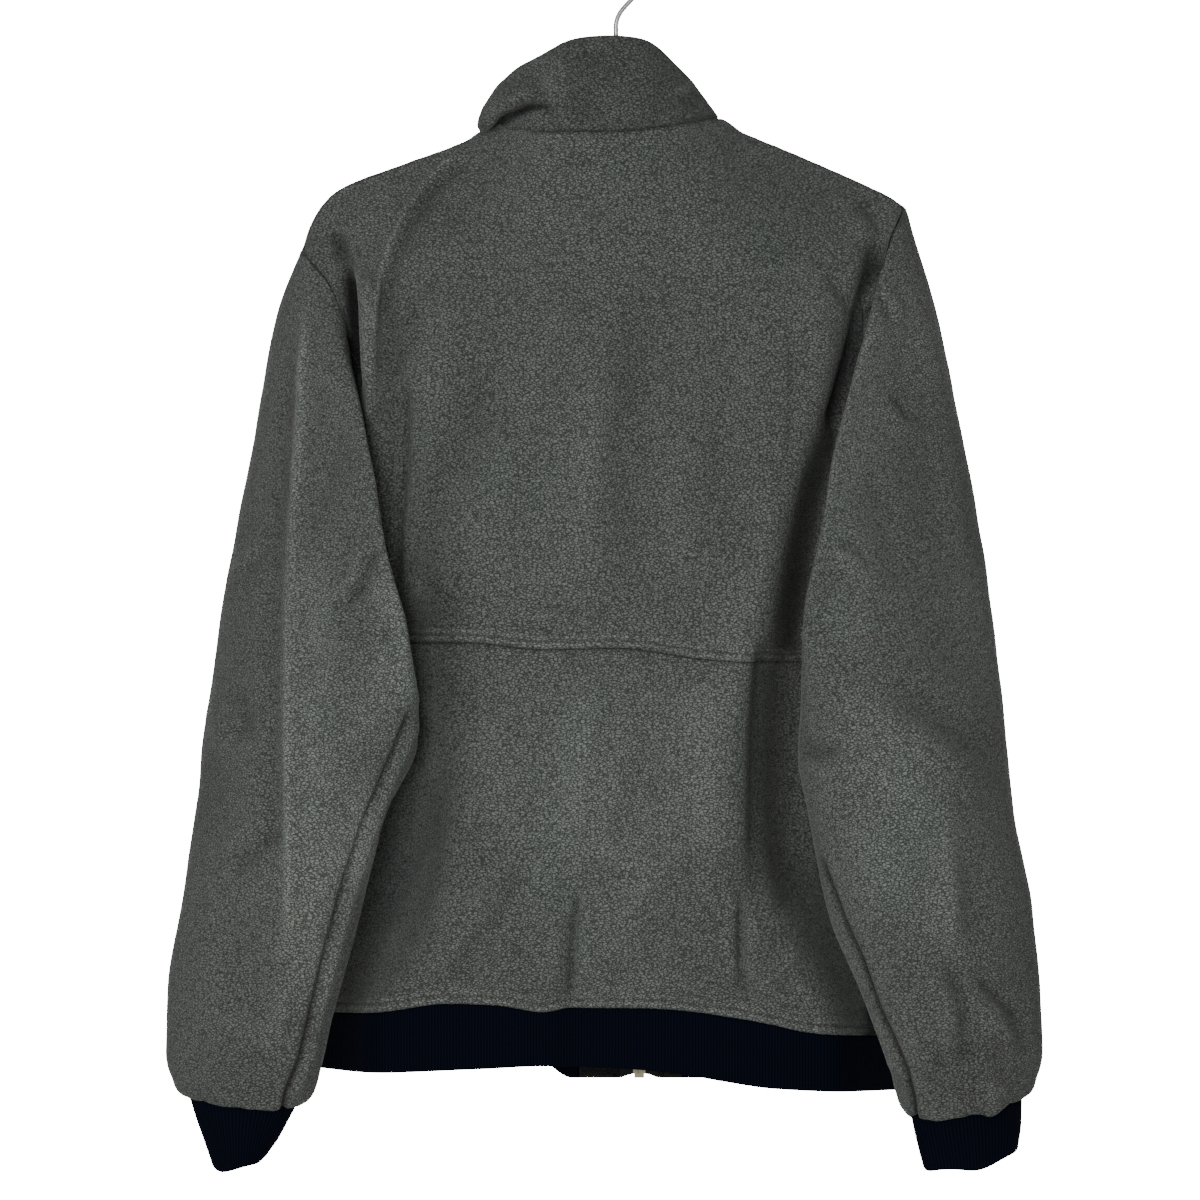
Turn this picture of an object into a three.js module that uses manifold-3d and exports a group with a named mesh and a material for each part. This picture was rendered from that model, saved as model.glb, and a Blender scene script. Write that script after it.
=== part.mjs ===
/*
 * Warm-up jacket on a hanger: a fleece jacket with a full front zip, a stand collar, set-in
 * sleeves, a seamed two-piece back, self-fabric hem tabs and rib-knit hem and cuffs, hanging
 * from a contoured hanger. Millimetres, +Z up, +Y the way a wearer would face and +X to the
 * wearer's right. The origin is the inside top of the hanger's hook, where it bears on a rail.
 *
 * Every cloth piece is a grid of points on its middle surface, given a wall. Neighbouring pieces
 * share their seam points, so their rims face each other across SEAM_GAP.
 */
import * as THREE from 'three';
import { mergeVertices } from 'three/addons/utils/BufferGeometryUtils.js';
import Module from 'manifold-3d';

// Cloth thicknesses and the gap between sewn pieces.
const FLEECE = 2.4;
const DOUBLE_FLEECE = 4.4;
const RIB = 3.6;
const TAPE = 0.9;
const SEAM_GAP = 0.3;
// Limits on how far a mitred rim is stretched, in thickness and in draw-back.
const MITRE = 0.6;
const DRAW_BACK = 0.3;

// Cells of the cloth grids, down the armhole, the side seam and the skirt, and across.
const ARMHOLE_CELLS = 10;
const UPPER_SIDE_CELLS = 2;
const SKIRT_CELLS = 6;
const HEM_CELLS = 3;
const COLLAR_CELLS = 6;
const SLEEVE_CELLS = 16;
const CUFF_CELLS = 3;
const TAB_COLUMNS = 2;

// Neck opening: an oval about NECK_X, lower at the front than at the back.
const NECK_X = -6;
const NECK_HALF = 79;
const NECK_BACK = 50;
const NECK_FRONT = 52;
// Power that shapes the front neck's fall to the centre front.
const NECK_FALL = 1.3;

// Centre front: each edge stands this far from the zip's centre line.
const FRONT_EDGE = 4.5;

// The cloth falls from the shoulder line to its full depth over this drop.
const SHOULDER_DROP = 170;
const CORNER_EASE = 12;

// Rows that meet the armhole low down dip away from it, so that they cross its seam.
const UNDERARM_DIP = 28;
const DIP_SPREAD = 0.12;

// Half depth of the armhole, behind and before the shoulder line.
const ARMHOLE_BACK = 38;
const ARMHOLE_FRONT = 44;
const ARMHOLE_SCOOP = 12;

const table = (names, rows) => rows.map(
  (row) => Object.fromEntries(names.split(' ').map((name, i) => [name, row[i]])),
);

// Shoulder and back neck line, from the left sleeve head to the right.
const TOP_LINE = table('x z', [
  [-226, -213], [-221, -197], [-212, -181], [-199, -169], [-156, -152], [-110, -135],
  [-85, -122], [-52, -129], [0, -129], [30, -126], [60, -120.5], [73, -118],
  [91, -128], [122, -141], [175, -164], [198, -175], [208, -182],
]);
const WAIST_LINE = table('x z', [
  [-213, -495], [-109, -495], [-50, -500], [0, -499], [64, -507], [94, -509], [207, -505],
]);
const HEM_LINE = table('x z', [
  [-216, -762], [-175, -760], [-119, -753], [-84, -754], [-52, -759], [-32, -756], [17, -756],
  [49, -758], [77, -762], [106, -767], [140, -774], [207, -779],
]);
const RIB_LINE = table('x z', [
  [-216, -802], [-183, -803], [-97, -800], [-55, -798], [9, -800], [49, -804], [77, -809],
  [111, -814], [146, -816], [207, -818],
]);
// The rib draws the hem in by this share of its depth.
const RIB_DRAW = 0.05;
const FRONT_HEM = -768;
const FRONT_RIB = -811;
// Beside the zip the front's rib keeps its own foot, and eases into the back's beyond.
const RIB_KEEP = 50;
const RIB_EASE = 25;

// Centre front line, from the neck to the foot of the zip, and the depth it lies at.
const CENTRE_FRONT = table('z x y', [
  [-130, -4, 50], [-158, -4, 54], [-188, -2, 52], [-300, 1, 63], [-450, 6, 70], [-600, 11, 70],
  [-768, 17, 60], [-811, 18, 56],
]);
const FRONT_NECK = CENTRE_FRONT[2];

// Armhole seams by height; both meet the side seam at the underarm.
const ARMHOLE = {
  left: table('z x', [
    [-213, -226], [-224, -217], [-238, -206], [-251, -200], [-268, -195], [-300, -190],
    [-350, -188], [-410, -194], [-458, -207],
  ]),
  right: table('z x', [
    [-182, 208], [-195, 202], [-204, 198], [-218, 194], [-242, 187], [-270, 182], [-320, 180],
    [-380, 186], [-437, 201],
  ]),
};
const SIDE_SEAM = {
  left: table('z x y', [[-458, -207, 0], [-500, -212, 16], [-640, -213, 22], [-802, -216, 20]]),
  right: table('z x y', [[-437, 201, 0], [-490, 206, 16], [-640, 206, 22], [-818, 207, 20]]),
};
const WAIST = { left: -495, right: -505 };
const HEM = { left: -762, right: -779 };
const RIB_FOOT = { left: -802, right: -818 };

// Where the flat of the back turns into its side walls, and the depth of back and front.
const BODY = table('z turnLeft turnRight back front', [
  [-120, -150, 152, -46, 50],
  [-213, -160, 176, -50, 54],
  [-270, -160, 165, -57, 58],
  [-349, -152, 142, -65, 62],
  [-429, -141, 122, -71, 66],
  [-493, -130, 106, -74, 66],
  [-565, -127, 93, -76, 66],
  [-645, -123, 93, -74, 66],
  [-717, -141, 132, -68, 60],
  [-760, -172, 156, -61, 56],
  [-819, -179, 167, -58, 52],
]);
// The front rounds into its side walls this far in from the side seam.
const FRONT_TURN = 30;

// Largest folds of the back, each a straight trough or ridge: ends, half width and depth in.
// They fade out over FOLD_FADE at the sides.
const FOLD_FADE = 12;
const BACK_FOLDS = table('x1 z1 x2 z2 width depth', [
  [-179, -243, -178, -330, 9, -13],
  [-153, -330, -150, -480, 14, 7],
  [-60, -175, -40, -300, 26, -4],
  [60, -230, 40, -420, 26, 4],
  [172, -262, 161, -335, 12, 13],
  [157, -355, 130, -490, 13, 28],
  [124, -525, 120, -640, 22, 13],
  [89, -650, 92, -740, 10, 6],
  [-30, -700, -32, -752, 12, 5],
  [-110, -640, -70, -740, 24, -5],
]);

/*
 * Sleeve sections, from the armhole to the cuff seam. o is the outer point, i the inner, b and f
 * the points behind and before; b and f stand half way down between o and i.
 */
const SLEEVE_COLUMNS = 'ox oy oz bx by ix iy iz fx fy';
const SLEEVE = {
  left: table(SLEEVE_COLUMNS, [
    [-226, 0, -213, -189, -48, -207, 0, -458, -179, 44],
    [-239, -3, -256, -178, -70, -226, -10, -462, -229, 44],
    [-247, -7, -318, -170, -86, -205, -44, -482, -241, 36],
    [-258, -13, -382, -168, -97, -167, -68, -508, -240, 16],
    [-278, -24, -462, -197, -107, -144, -80, -539, -230, -10],
    [-294, -38, -560, -223, -114, -143, -85, -567, -219, -26],
    [-299, -44, -607, -229, -118, -164, -88, -616, -225, -32],
    [-309, -52, -672, -239, -118, -182, -88, -681, -240, -36],
    [-320, -58, -743, -250, -116, -198, -88, -742, -254, -40],
    [-320, -62, -787, -260, -112, -210, -86, -792, -264, -44],
    [-314, -66, -809, -263, -107, -216, -84, -814, -266, -50],
    [-303, -70, -819, -267, -97, -230, -80, -825, -268, -58],
  ]),
  right: table(SLEEVE_COLUMNS, [
    [208, 0, -182, 181, -48, 201, 0, -437, 171, 44],
    [221, -3, -240, 166, -70, 220, -10, -442, 217, 44],
    [228, -7, -302, 153, -86, 195, -44, -464, 231, 36],
    [243, -13, -368, 150, -97, 157, -68, -492, 228, 16],
    [264, -24, -448, 173, -107, 136, -80, -525, 212, -10],
    [278, -38, -562, 209, -114, 130, -85, -571, 207, -26],
    [283, -44, -613, 215, -118, 138, -88, -620, 213, -32],
    [295, -52, -675, 225, -118, 151, -88, -682, 223, -36],
    [302, -58, -743, 239, -116, 177, -88, -745, 238, -40],
    [303, -62, -787, 246, -112, 194, -86, -792, 248, -44],
    [296, -66, -811, 248, -107, 201, -84, -818, 250, -50],
    [288, -70, -819, 251, -97, 212, -80, -832, 252, -58],
  ]),
};
const CUFF = {
  left: table(SLEEVE_COLUMNS, [
    [-303, -70, -819, -267, -97, -230, -80, -825, -268, -58],
    [-294, -74, -845, -268, -99, -242, -80, -849, -267, -54],
    [-286, -74, -871, -268, -100, -251, -76, -865, -266, -50],
  ]),
  right: table(SLEEVE_COLUMNS, [
    [288, -70, -819, 251, -97, 212, -80, -832, 252, -58],
    [287, -72, -839, 253, -97, 216, -80, -852, 254, -58],
    [285, -74, -858, 255, -96, 221, -78, -872, 256, -58],
  ]),
};
// Rows over which a sleeve's section leaves the line of the armhole.
const SLEEVE_HEAD_ROWS = 1.6;

// Collar sections above the neck seam: front, left, back and right points.
const COLLAR = {
  middle: { front: [-4, 54, -158], left: [-84, 2, -106], back: [-8, -49, -92], right: [58, 2, -102] },
  top: { front: [-4, 50, -130], left: [-58, 4, -88], back: [-8, -40, -60], right: [43, 4, -86] },
};
// The left of the collar rolls out over the shoulder.
const COLLAR_ROLL = { height: 0.3, spread: 0.18, angle: 2, out: -13, down: -8 };

// Columns across the body, as the places where they leave the shoulder and neck lines.
const SHOULDER_LEFT = [-226, -217, -205, -184, -156, -120, -85];
const SHOULDER_RIGHT = [73, 97, 119, 138, 156, 174, 192, 208];
const BACK_NECK = [-76, -60, -40, -18, 6, 28, 48, 64];
const FRONT_NECK_LEFT = [-78, -62, -44, -25];
const FRONT_NECK_RIGHT = [66, 50, 32, 13];

// Hanger: a contoured bar under the shoulders and a wire hook.
const ARM_HALF = 194;
// How far the bar's top lies below the shoulder line, next to the neck and at the ends.
const ARM_CLEARANCE = 5.6;
const TIP_CLEARANCE = 7.4;
const ARM_HEIGHT = 26;
const ARM_THICKNESS = 11;
const ARM_STATIONS = 22;
const ARM_SIDES = 14;
const ARM_CREST = -118;
// Half width of the level crest and of the slope on each side of it, and the ends' taper.
const CREST_HALF = 30;
const CREST_SLOPE = 75;
const ARM_TAPER = 0.6;
const TIP_TAPER = 0.3;
const WIRE_RADIUS = 1.8;
const WIRE_SIDES = 10;
const HOOK_RADIUS = 17.8;
const HOOK_SOCKET = 18;
const HOOK_TURN = 1.12 * Math.PI;
const HOOK_STEPS = 36;
// The stem leaves the hook's axis this far below the hook's centre, by way of two bends.
const STEM_TOP = 36;
const STEM_BEND = 20;
const HOOK_BEND = 18;
const SOCKET_SIDES = 24;

// Zip: teeth between the two front edges, tapes behind them, a slider, its pull and an end box.
const TEETH_HALF = 3;
const TEETH_FRONT = 1.2;
const TAPE_INNER = 0.6;
const TEETH_REAR_GAP = 0.1;
const TAPE_UNDER = 10;
// The tapes lie a little further behind the cloth than pieces lie apart at a seam.
const TAPE_GAP = 0.6;
const BOX_HEIGHT = 8;
const BOX_HALF = 3.6;
const BOX_DEPTH = 5;
const SLIDER_Z = -146;
const SLIDER = {
  width: 8.4, height: 12, thickness: 2.4, bridgeWidth: 2.8, bridgeHeight: 10, bridgeRise: 4.6, bar: 1.2,
};
const PULL_CLEARANCE = 0.6;
const PULL = { width: 8, length: 30, thickness: 1.6, bar: 1.6, eyeHalf: 2.3, eyeLength: 8.2 };

const COLOURS = {
  fleece: { color: 0x565a56, roughness: 0.95, metalness: 0 },
  rib: { color: 0x090c15, roughness: 0.9, metalness: 0 },
  tape: { color: 0x15171b, roughness: 0.9, metalness: 0 },
  teeth: { color: 0x1b1c1f, roughness: 0.5, metalness: 0 },
  nickel: { color: 0x8d8b86, roughness: 0.35, metalness: 1 },
  box: { color: 0xb9ad90, roughness: 0.5, metalness: 0 },
  wood: { color: 0x9a7650, roughness: 0.5, metalness: 0 },
  steel: { color: 0xb4b4b2, roughness: 0.3, metalness: 1 },
};

const { sin, cos, abs, sqrt, min, max, PI, exp, hypot } = Math;
const mix = (a, b, share) => a + (b - a) * share;
const clamp = (value) => min(1, max(0, value));
const smooth = (value) => clamp(value) ** 2 * (3 - 2 * clamp(value));
const vec = (x, y, z) => new THREE.Vector3(x, y, z);
const numbers = (count) => Array.from({ length: count }, (_, i) => i);

// Reads a table between its rows on a smooth curve that never passes beyond them.
function read(rows, by, at) {
  const last = rows.length - 1;
  const way = Math.sign(rows[last][by] - rows[0][by]);
  let k = 0;
  while (k < last - 1 && (at - rows[k + 1][by]) * way > 0) k += 1;
  const span = rows[k + 1][by] - rows[k][by];
  const q = clamp((at - rows[k][by]) / span);
  const found = {};
  for (const name of Object.keys(rows[0])) {
    const slope = (i) => (rows[i + 1][name] - rows[i][name]) / (rows[i + 1][by] - rows[i][by]);
    const tangent = (i) => {
      if (i === 0) return slope(0);
      if (i === last) return slope(last - 1);
      const [before, after] = [slope(i - 1), slope(i)];
      return before * after > 0 ? (2 * before * after) / (before + after) : 0;
    };
    const [from, to] = [rows[k][name], rows[k + 1][name]];
    const [leave, arrive] = [tangent(k) * span, tangent(k + 1) * span];
    found[name] = from
      + q * (leave + q * (3 * (to - from) - 2 * leave - arrive + q * (2 * (from - to) + leave + arrive)));
  }
  return found;
}

// A line through knots [x, y], with each inner corner eased over CORNER_EASE each way.
function eased(knots, x) {
  const slope = (i) => (knots[i + 1][1] - knots[i][1]) / (knots[i + 1][0] - knots[i][0]);
  const last = knots.length - 1;
  let k = 0;
  while (k < last - 1 && x > knots[k + 1][0]) k += 1;
  let y = knots[k][1] + slope(k) * (x - knots[k][0]);
  for (let i = 1; i < last; i += 1) {
    const near = CORNER_EASE - abs(x - knots[i][0]);
    if (near > 0) y += (near * near) / (4 * CORNER_EASE) * (slope(i) - slope(i - 1));
  }
  return y;
}

// The closed curve through four points at 0, 90, 180 and 270 degrees.
function oval(a, b, c, d, angle) {
  const along = (p, q, r, s) => (p + r) / 2 + cos(angle) * (p - r) / 2 + sin(angle) * (q - s) / 2
    + sin(angle) ** 2 * ((q + s) / 2 - (p + r) / 2);
  return vec(along(a.x, b.x, c.x, d.x), along(a.y, b.y, c.y, d.y), along(a.z, b.z, c.z, d.z));
}

// Depth in of the back's folds at a point: each is a bell across and fades out at its ends.
function foldDepth(x, z) {
  let depth = 0;
  for (const fold of BACK_FOLDS) {
    const [ux, uz] = [fold.x2 - fold.x1, fold.z2 - fold.z1];
    const along = ((x - fold.x1) * ux + (z - fold.z1) * uz) / (ux * ux + uz * uz);
    const nearest = clamp(along);
    const across = hypot(x - fold.x1 - nearest * ux, z - fold.z1 - nearest * uz) / fold.width;
    depth += fold.depth * exp(-across * across);
  }
  return depth;
}

// The outline of a body panel at a height: the armhole above the underarm, the side seam below.
function outline(side, face, z) {
  const arm = ARMHOLE[side];
  const [head, underarm] = [arm[0], arm[arm.length - 1]];
  if (z <= underarm.z) {
    const seam = read(SIDE_SEAM[side], 'z', z);
    return vec(seam.x, seam.y, z);
  }
  const height = min(z, head.z);
  const lean = sqrt(max(0, 1 - (1 - 2 * (height - head.z) / (underarm.z - head.z)) ** 2));
  const { x } = read(arm, 'z', height);
  if (face === 'back') return vec(x, -ARMHOLE_BACK * lean, height);
  return vec(x - Math.sign(x) * ARMHOLE_SCOOP * lean * lean, ARMHOLE_FRONT * lean, height);
}

// Heights of the rows down one edge: even angles round the armhole, then even steps.
function edgeHeights(side) {
  const arm = ARMHOLE[side];
  const [head, underarm] = [arm[0].z, arm[arm.length - 1].z];
  const steps = (from, to, cells) => numbers(cells).map((i) => mix(from, to, (i + 1) / cells));
  return [
    ...numbers(ARMHOLE_CELLS + 1).map((i) => mix(head, underarm, (1 - cos(PI * i / ARMHOLE_CELLS)) / 2)),
    ...steps(underarm, WAIST[side], UPPER_SIDE_CELLS),
    ...steps(WAIST[side], HEM[side], SKIRT_CELLS),
  ];
}
const HEIGHTS = { left: edgeHeights('left'), right: edgeHeights('right') };
const WAIST_ROW = ARMHOLE_CELLS + UPPER_SIDE_CELLS;
const HEM_ROW = WAIST_ROW + SKIRT_CELLS;

// Back neck and front neck seams, by x; the front one falls to the centre front.
function neckPoint(face, x) {
  const round = sqrt(max(0, 1 - ((x - NECK_X) / NECK_HALF) ** 2));
  if (face === 'back') return vec(x, -NECK_BACK * round, read(TOP_LINE, 'x', x).z);
  const side = read(TOP_LINE, 'x', x < NECK_X ? NECK_X - NECK_HALF : NECK_X + NECK_HALF).z;
  return vec(x, NECK_FRONT * round, mix(side, FRONT_NECK.z, round ** NECK_FALL));
}

// The top edge of a body panel, along the shoulder seam and then the neck seam.
function topPoint(face, x) {
  if (abs(x - NECK_X) >= NECK_HALF) return vec(x, 0, read(TOP_LINE, 'x', x).z);
  return neckPoint(face, x);
}

// Cloth hangs from its top edge and reaches its full depth after SHOULDER_DROP.
function hang(top, z, full) {
  return mix(top.y, full, 1 - (1 - clamp((top.z - z) / SHOULDER_DROP)) ** 3);
}

function backPoint(top, left, right, x, z) {
  const body = read(BODY, 'z', z);
  const full = eased([
    [left.x, left.y], [body.turnLeft, body.back], [body.turnRight, body.back], [right.x, right.y],
  ], x);
  const fade = smooth(min(x - left.x, right.x - x) / FOLD_FADE);
  return vec(x, hang(top, z, full) + foldDepth(x, z) * fade, z);
}

function frontPoint(top, edge, x, z) {
  const body = read(BODY, 'z', z);
  const centre = read(CENTRE_FRONT, 'z', z);
  const width = abs(centre.x - edge.x);
  const full = eased([[0, edge.y], [FRONT_TURN, body.front], [width, centre.y]], abs(x - edge.x));
  return vec(x, hang(top, z, full), z);
}

// How far a row dips, by its share of the way across from the side.
function dip(row, across) {
  const below = clamp((row - ARMHOLE_CELLS) / UPPER_SIDE_CELLS);
  const rise = min(1, row / ARMHOLE_CELLS) ** 4;
  return -UNDERARM_DIP * rise * (1 - below) * exp(-across / DIP_SPREAD);
}

const BACK_COLUMNS = [...SHOULDER_LEFT, ...BACK_NECK, ...SHOULDER_RIGHT];

// Rows of the back between two edge rows; share runs 0 to 1 from the upper line to the lower.
function backGrid(firstRow, lastRow, upper, lower) {
  const [from, to] = [BACK_COLUMNS[0], BACK_COLUMNS[BACK_COLUMNS.length - 1]];
  const share = (side, row) => (HEIGHTS[side][row] - HEIGHTS[side][firstRow])
    / (HEIGHTS[side][lastRow] - HEIGHTS[side][firstRow]);
  return numbers(lastRow - firstRow + 1).map((step) => {
    const row = firstRow + step;
    const left = outline('left', 'back', HEIGHTS.left[row]);
    const right = outline('right', 'back', HEIGHTS.right[row]);
    return BACK_COLUMNS.map((start) => {
      const across = (start - from) / (to - from);
      if (across === 0) return left;
      if (across === 1) return right;
      const top = topPoint('back', start);
      if (row === 0) return top;
      const x = mix(left.x, right.x, across);
      const down = mix(share('left', row), share('right', row), across);
      const z = mix(upper(start, x), lower(x), down) + dip(row, min(across, 1 - across));
      return backPoint(top, left, right, x, z);
    });
  });
}

const waistAt = (x) => read(WAIST_LINE, 'x', x).z;
const hemAt = (x) => read(HEM_LINE, 'x', x).z;

const FRONT_COLUMNS = {
  left: [...SHOULDER_LEFT, ...FRONT_NECK_LEFT],
  right: [...SHOULDER_RIGHT].reverse().concat(FRONT_NECK_RIGHT),
};
const zipEdge = (side, z) => read(CENTRE_FRONT, 'z', z).x + (side === 'left' ? -FRONT_EDGE : FRONT_EDGE);

const downEdge = (side, row) => (HEIGHTS[side][row] - HEIGHTS[side][0])
  / (HEIGHTS[side][HEM_ROW] - HEIGHTS[side][0]);

// A front, from the armhole and side seam to the zip; the last column is its zip edge, whose
// rows lie at the same heights on both sides.
function frontGrid(side) {
  const starts = FRONT_COLUMNS[side];
  const heights = HEIGHTS[side];
  const neckEdge = zipEdge(side, FRONT_NECK.z);
  return heights.map((height, row) => {
    const edge = outline(side, 'front', height);
    const centreDown = (downEdge('left', row) + downEdge('right', row)) / 2;
    const centre = mix(FRONT_NECK.z, FRONT_HEM, centreDown);
    return [...starts, neckEdge].map((start) => {
      const across = (start - starts[0]) / (neckEdge - starts[0]);
      if (across === 0) return edge;
      const top = topPoint('front', start);
      if (row === 0) return top;
      const down = mix(downEdge(side, row), centreDown, across);
      const x = mix(edge.x, zipEdge(side, centre), across);
      const z = mix(top.z, mix(HEM[side], FRONT_HEM, across), down);
      return frontPoint(top, edge, x, z + (across < 1 ? dip(row, across) : 0));
    });
  });
}

// The wall below the hem seam, from one hem tab round the back to the other.
function hemGrid(fronts, backLower) {
  const seam = [
    ...fronts.left[HEM_ROW].slice(0, -TAB_COLUMNS).reverse(),
    ...backLower[SKIRT_CELLS].slice(1, -1),
    ...fronts.right[HEM_ROW].slice(0, -TAB_COLUMNS),
  ];
  return numbers(HEM_CELLS + 1).map((row) => seam.map((point) => ribPoint(point, row / HEM_CELLS)));
}

function ribPoint(seamPoint, down) {
  const { x, y, z } = seamPoint;
  const centre = CENTRE_FRONT[CENTRE_FRONT.length - 1].x;
  const side = x < centre ? 'left' : 'right';
  const edge = read(SIDE_SEAM[side], 'z', RIB_FOOT[side]);
  const line = read(RIB_LINE, 'x', x).z;
  const foot = y <= edge.y ? line : mix(FRONT_RIB, line, smooth((abs(x - centre) - RIB_KEEP) / RIB_EASE));
  return vec(x, y * (1 - RIB_DRAW * sin(PI * down / 2)), mix(z, foot, down));
}

function tabGrid(front) {
  const seam = front[HEM_ROW].slice(-TAB_COLUMNS - 1);
  return numbers(HEM_CELLS + 1).map((row) => seam.map((point) => ribPoint(point, row / HEM_CELLS)));
}

// One section of a sleeve or cuff, at a place between the rows of its table.
function tubePoint(rows, place, angle) {
  const s = read(rows.map((row, i) => ({ place: i, ...row })), 'place', place);
  const half = (s.oz + s.iz) / 2;
  const [outer, inner] = [vec(s.ox, s.oy, s.oz), vec(s.ix, s.iy, s.iz)];
  return oval(outer, vec(s.bx, s.by, half), inner, vec(s.fx, s.fy, half), angle);
}

// The sleeve leaves the armhole seam itself and passes into its own sections.
function sleeveGrid(side, back, front) {
  const rows = SLEEVE[side];
  const seam = [
    ...numbers(ARMHOLE_CELLS + 1).map((row) => back(row)),
    ...numbers(ARMHOLE_CELLS - 1).map((row) => front(ARMHOLE_CELLS - 1 - row)),
  ];
  return numbers(SLEEVE_CELLS + 1).map((step) => {
    const place = step / SLEEVE_CELLS * (rows.length - 1);
    const hold = (1 - clamp(place / SLEEVE_HEAD_ROWS)) ** 2;
    return seam.map((point, i) => {
      const angle = 2 * PI * i / seam.length;
      const away = point.clone().sub(tubePoint(rows, 0, angle)).multiplyScalar(hold);
      return tubePoint(rows, place, angle).add(away);
    });
  });
}

function cuffGrid(side) {
  const count = 2 * ARMHOLE_CELLS;
  const last = CUFF[side].length - 1;
  return numbers(CUFF_CELLS + 1).map((step) => numbers(count).map(
    (i) => tubePoint(CUFF[side], step / CUFF_CELLS * last, 2 * PI * i / count),
  ));
}

// The collar rises from the neck seam through its middle section to its top edge.
function collarGrid(frontLeft, back, frontRight) {
  const neckColumns = FRONT_NECK_LEFT.length + 1;
  const seam = [
    ...frontLeft[0].slice(-neckColumns - 1).reverse(),
    ...back[0].slice(SHOULDER_LEFT.length, -SHOULDER_RIGHT.length),
    ...frontRight[0].slice(-neckColumns - 1),
  ];
  const section = ({ front, left, back: rear, right }, angle) => oval(
    vec(...front), vec(...left), vec(...rear), vec(...right), angle,
  );
  return numbers(COLLAR_CELLS + 1).map((row) => seam.map((foot, i) => {
    const v = row / COLLAR_CELLS;
    const away = (foot.x - NECK_X) / NECK_HALF;
    const atZip = i === 0 || i === seam.length - 1;
    const angle = atZip ? 0 : Math.atan2(-away, foot.y / (foot.y > 0 ? NECK_FRONT : NECK_BACK));
    const point = foot.clone().multiplyScalar((1 - v) * (1 - 2 * v))
      .addScaledVector(section(COLLAR.middle, angle), 4 * v * (1 - v))
      .addScaledVector(section(COLLAR.top, angle), v * (2 * v - 1));
    const across = exp(-(((v - COLLAR_ROLL.height) / COLLAR_ROLL.spread) ** 2));
    const roll = v === 0 ? 0 : across * max(0, cos(angle - COLLAR_ROLL.angle)) ** 4;
    point.add(vec(COLLAR_ROLL.out * roll, 0, COLLAR_ROLL.down * roll));
    if (atZip) point.x = zipEdge(i === 0 ? 'left' : 'right', point.z);
    return point;
  }));
}

/*
 * A cloth piece: its grid of middle points, thickness, whether the grid closes round, and the
 * side that faces out, +1 where columns cross rows outwards and -1 where they cross inwards.
 */
class Cloth {
  constructor(name, colour, thickness, grid, { closed = false, outward = 1 } = {}) {
    Object.assign(this, { name, colour, thickness, grid, closed, outward });
    this.normals = grid.map((row, i) => row.map((_, j) => this.normalAt(i, j)));
  }

  at(i, j) {
    const columns = this.grid[0].length;
    const row = this.grid[min(this.grid.length - 1, max(0, i))];
    return this.closed ? row[(j + columns) % columns] : row[min(columns - 1, max(0, j))];
  }

  normalAt(i, j) {
    const across = this.at(i, j + 1).clone().sub(this.at(i, j - 1));
    const down = this.at(i + 1, j).clone().sub(this.at(i - 1, j));
    return across.cross(down).normalize().multiplyScalar(this.outward);
  }

  onRim(i, j) {
    const onEnd = i === 0 || i === this.grid.length - 1;
    return onEnd || (!this.closed && (j === 0 || j === this.grid[0].length - 1));
  }

  // Each rim point, with its row and column.
  * rim() {
    for (const i of this.grid.keys()) {
      for (const j of this.grid[i].keys()) if (this.onRim(i, j)) yield [this.grid[i][j], i, j];
    }
  }

  // Middle point drawn back from its seams until it is half the seam gap from the rim's plane.
  drawnBack(i, j, away) {
    const point = this.grid[i][j].clone();
    const rows = this.grid.length - 1;
    const columns = this.grid[0].length - 1;
    const pull = (inner, before, after) => {
      const way = inner.clone().sub(this.grid[i][j]).normalize();
      const across = after.clone().sub(before).cross(away).normalize();
      point.addScaledVector(way, SEAM_GAP / 2 / max(DRAW_BACK, abs(way.dot(across))));
    };
    if (i === 0) pull(this.at(1, j), this.at(0, j - 1), this.at(0, j + 1));
    if (i === rows) pull(this.at(rows - 1, j), this.at(rows, j - 1), this.at(rows, j + 1));
    if (!this.closed && j === 0) pull(this.at(i, 1), this.at(i - 1, 0), this.at(i + 1, 0));
    if (!this.closed && j === columns) {
      pull(this.at(i, columns - 1), this.at(i - 1, columns), this.at(i + 1, columns));
    }
    return point;
  }

  mesh(seams) {
    const corners = this.grid.map((row, i) => row.map((_, j) => {
      const own = this.normals[i][j];
      const shared = (this.onRim(i, j) && seams.get(keyOf(this.grid[i][j]))) || own;
      const away = shared.clone().normalize();
      away.multiplyScalar(this.thickness / 2 / max(MITRE, away.dot(own)));
      const middle = this.drawnBack(i, j, away);
      return [middle.clone().add(away), middle.clone().sub(away)];
    }));
    return meshOf(this.name, this.colour, wallGeometry(corners, this.closed, this.outward));
  }
}

const keyOf = (point) => point.toArray().map((value) => value.toFixed(2)).join(' ');

// Sum of the facings of all pieces that meet at each seam point.
function seamFacings(pieces) {
  const sums = new Map();
  for (const piece of pieces) {
    for (const [point, i, j] of piece.rim()) {
      const key = keyOf(point);
      sums.set(key, (sums.get(key) ?? vec(0, 0, 0)).add(piece.normals[i][j]));
    }
  }
  return sums;
}

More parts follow.
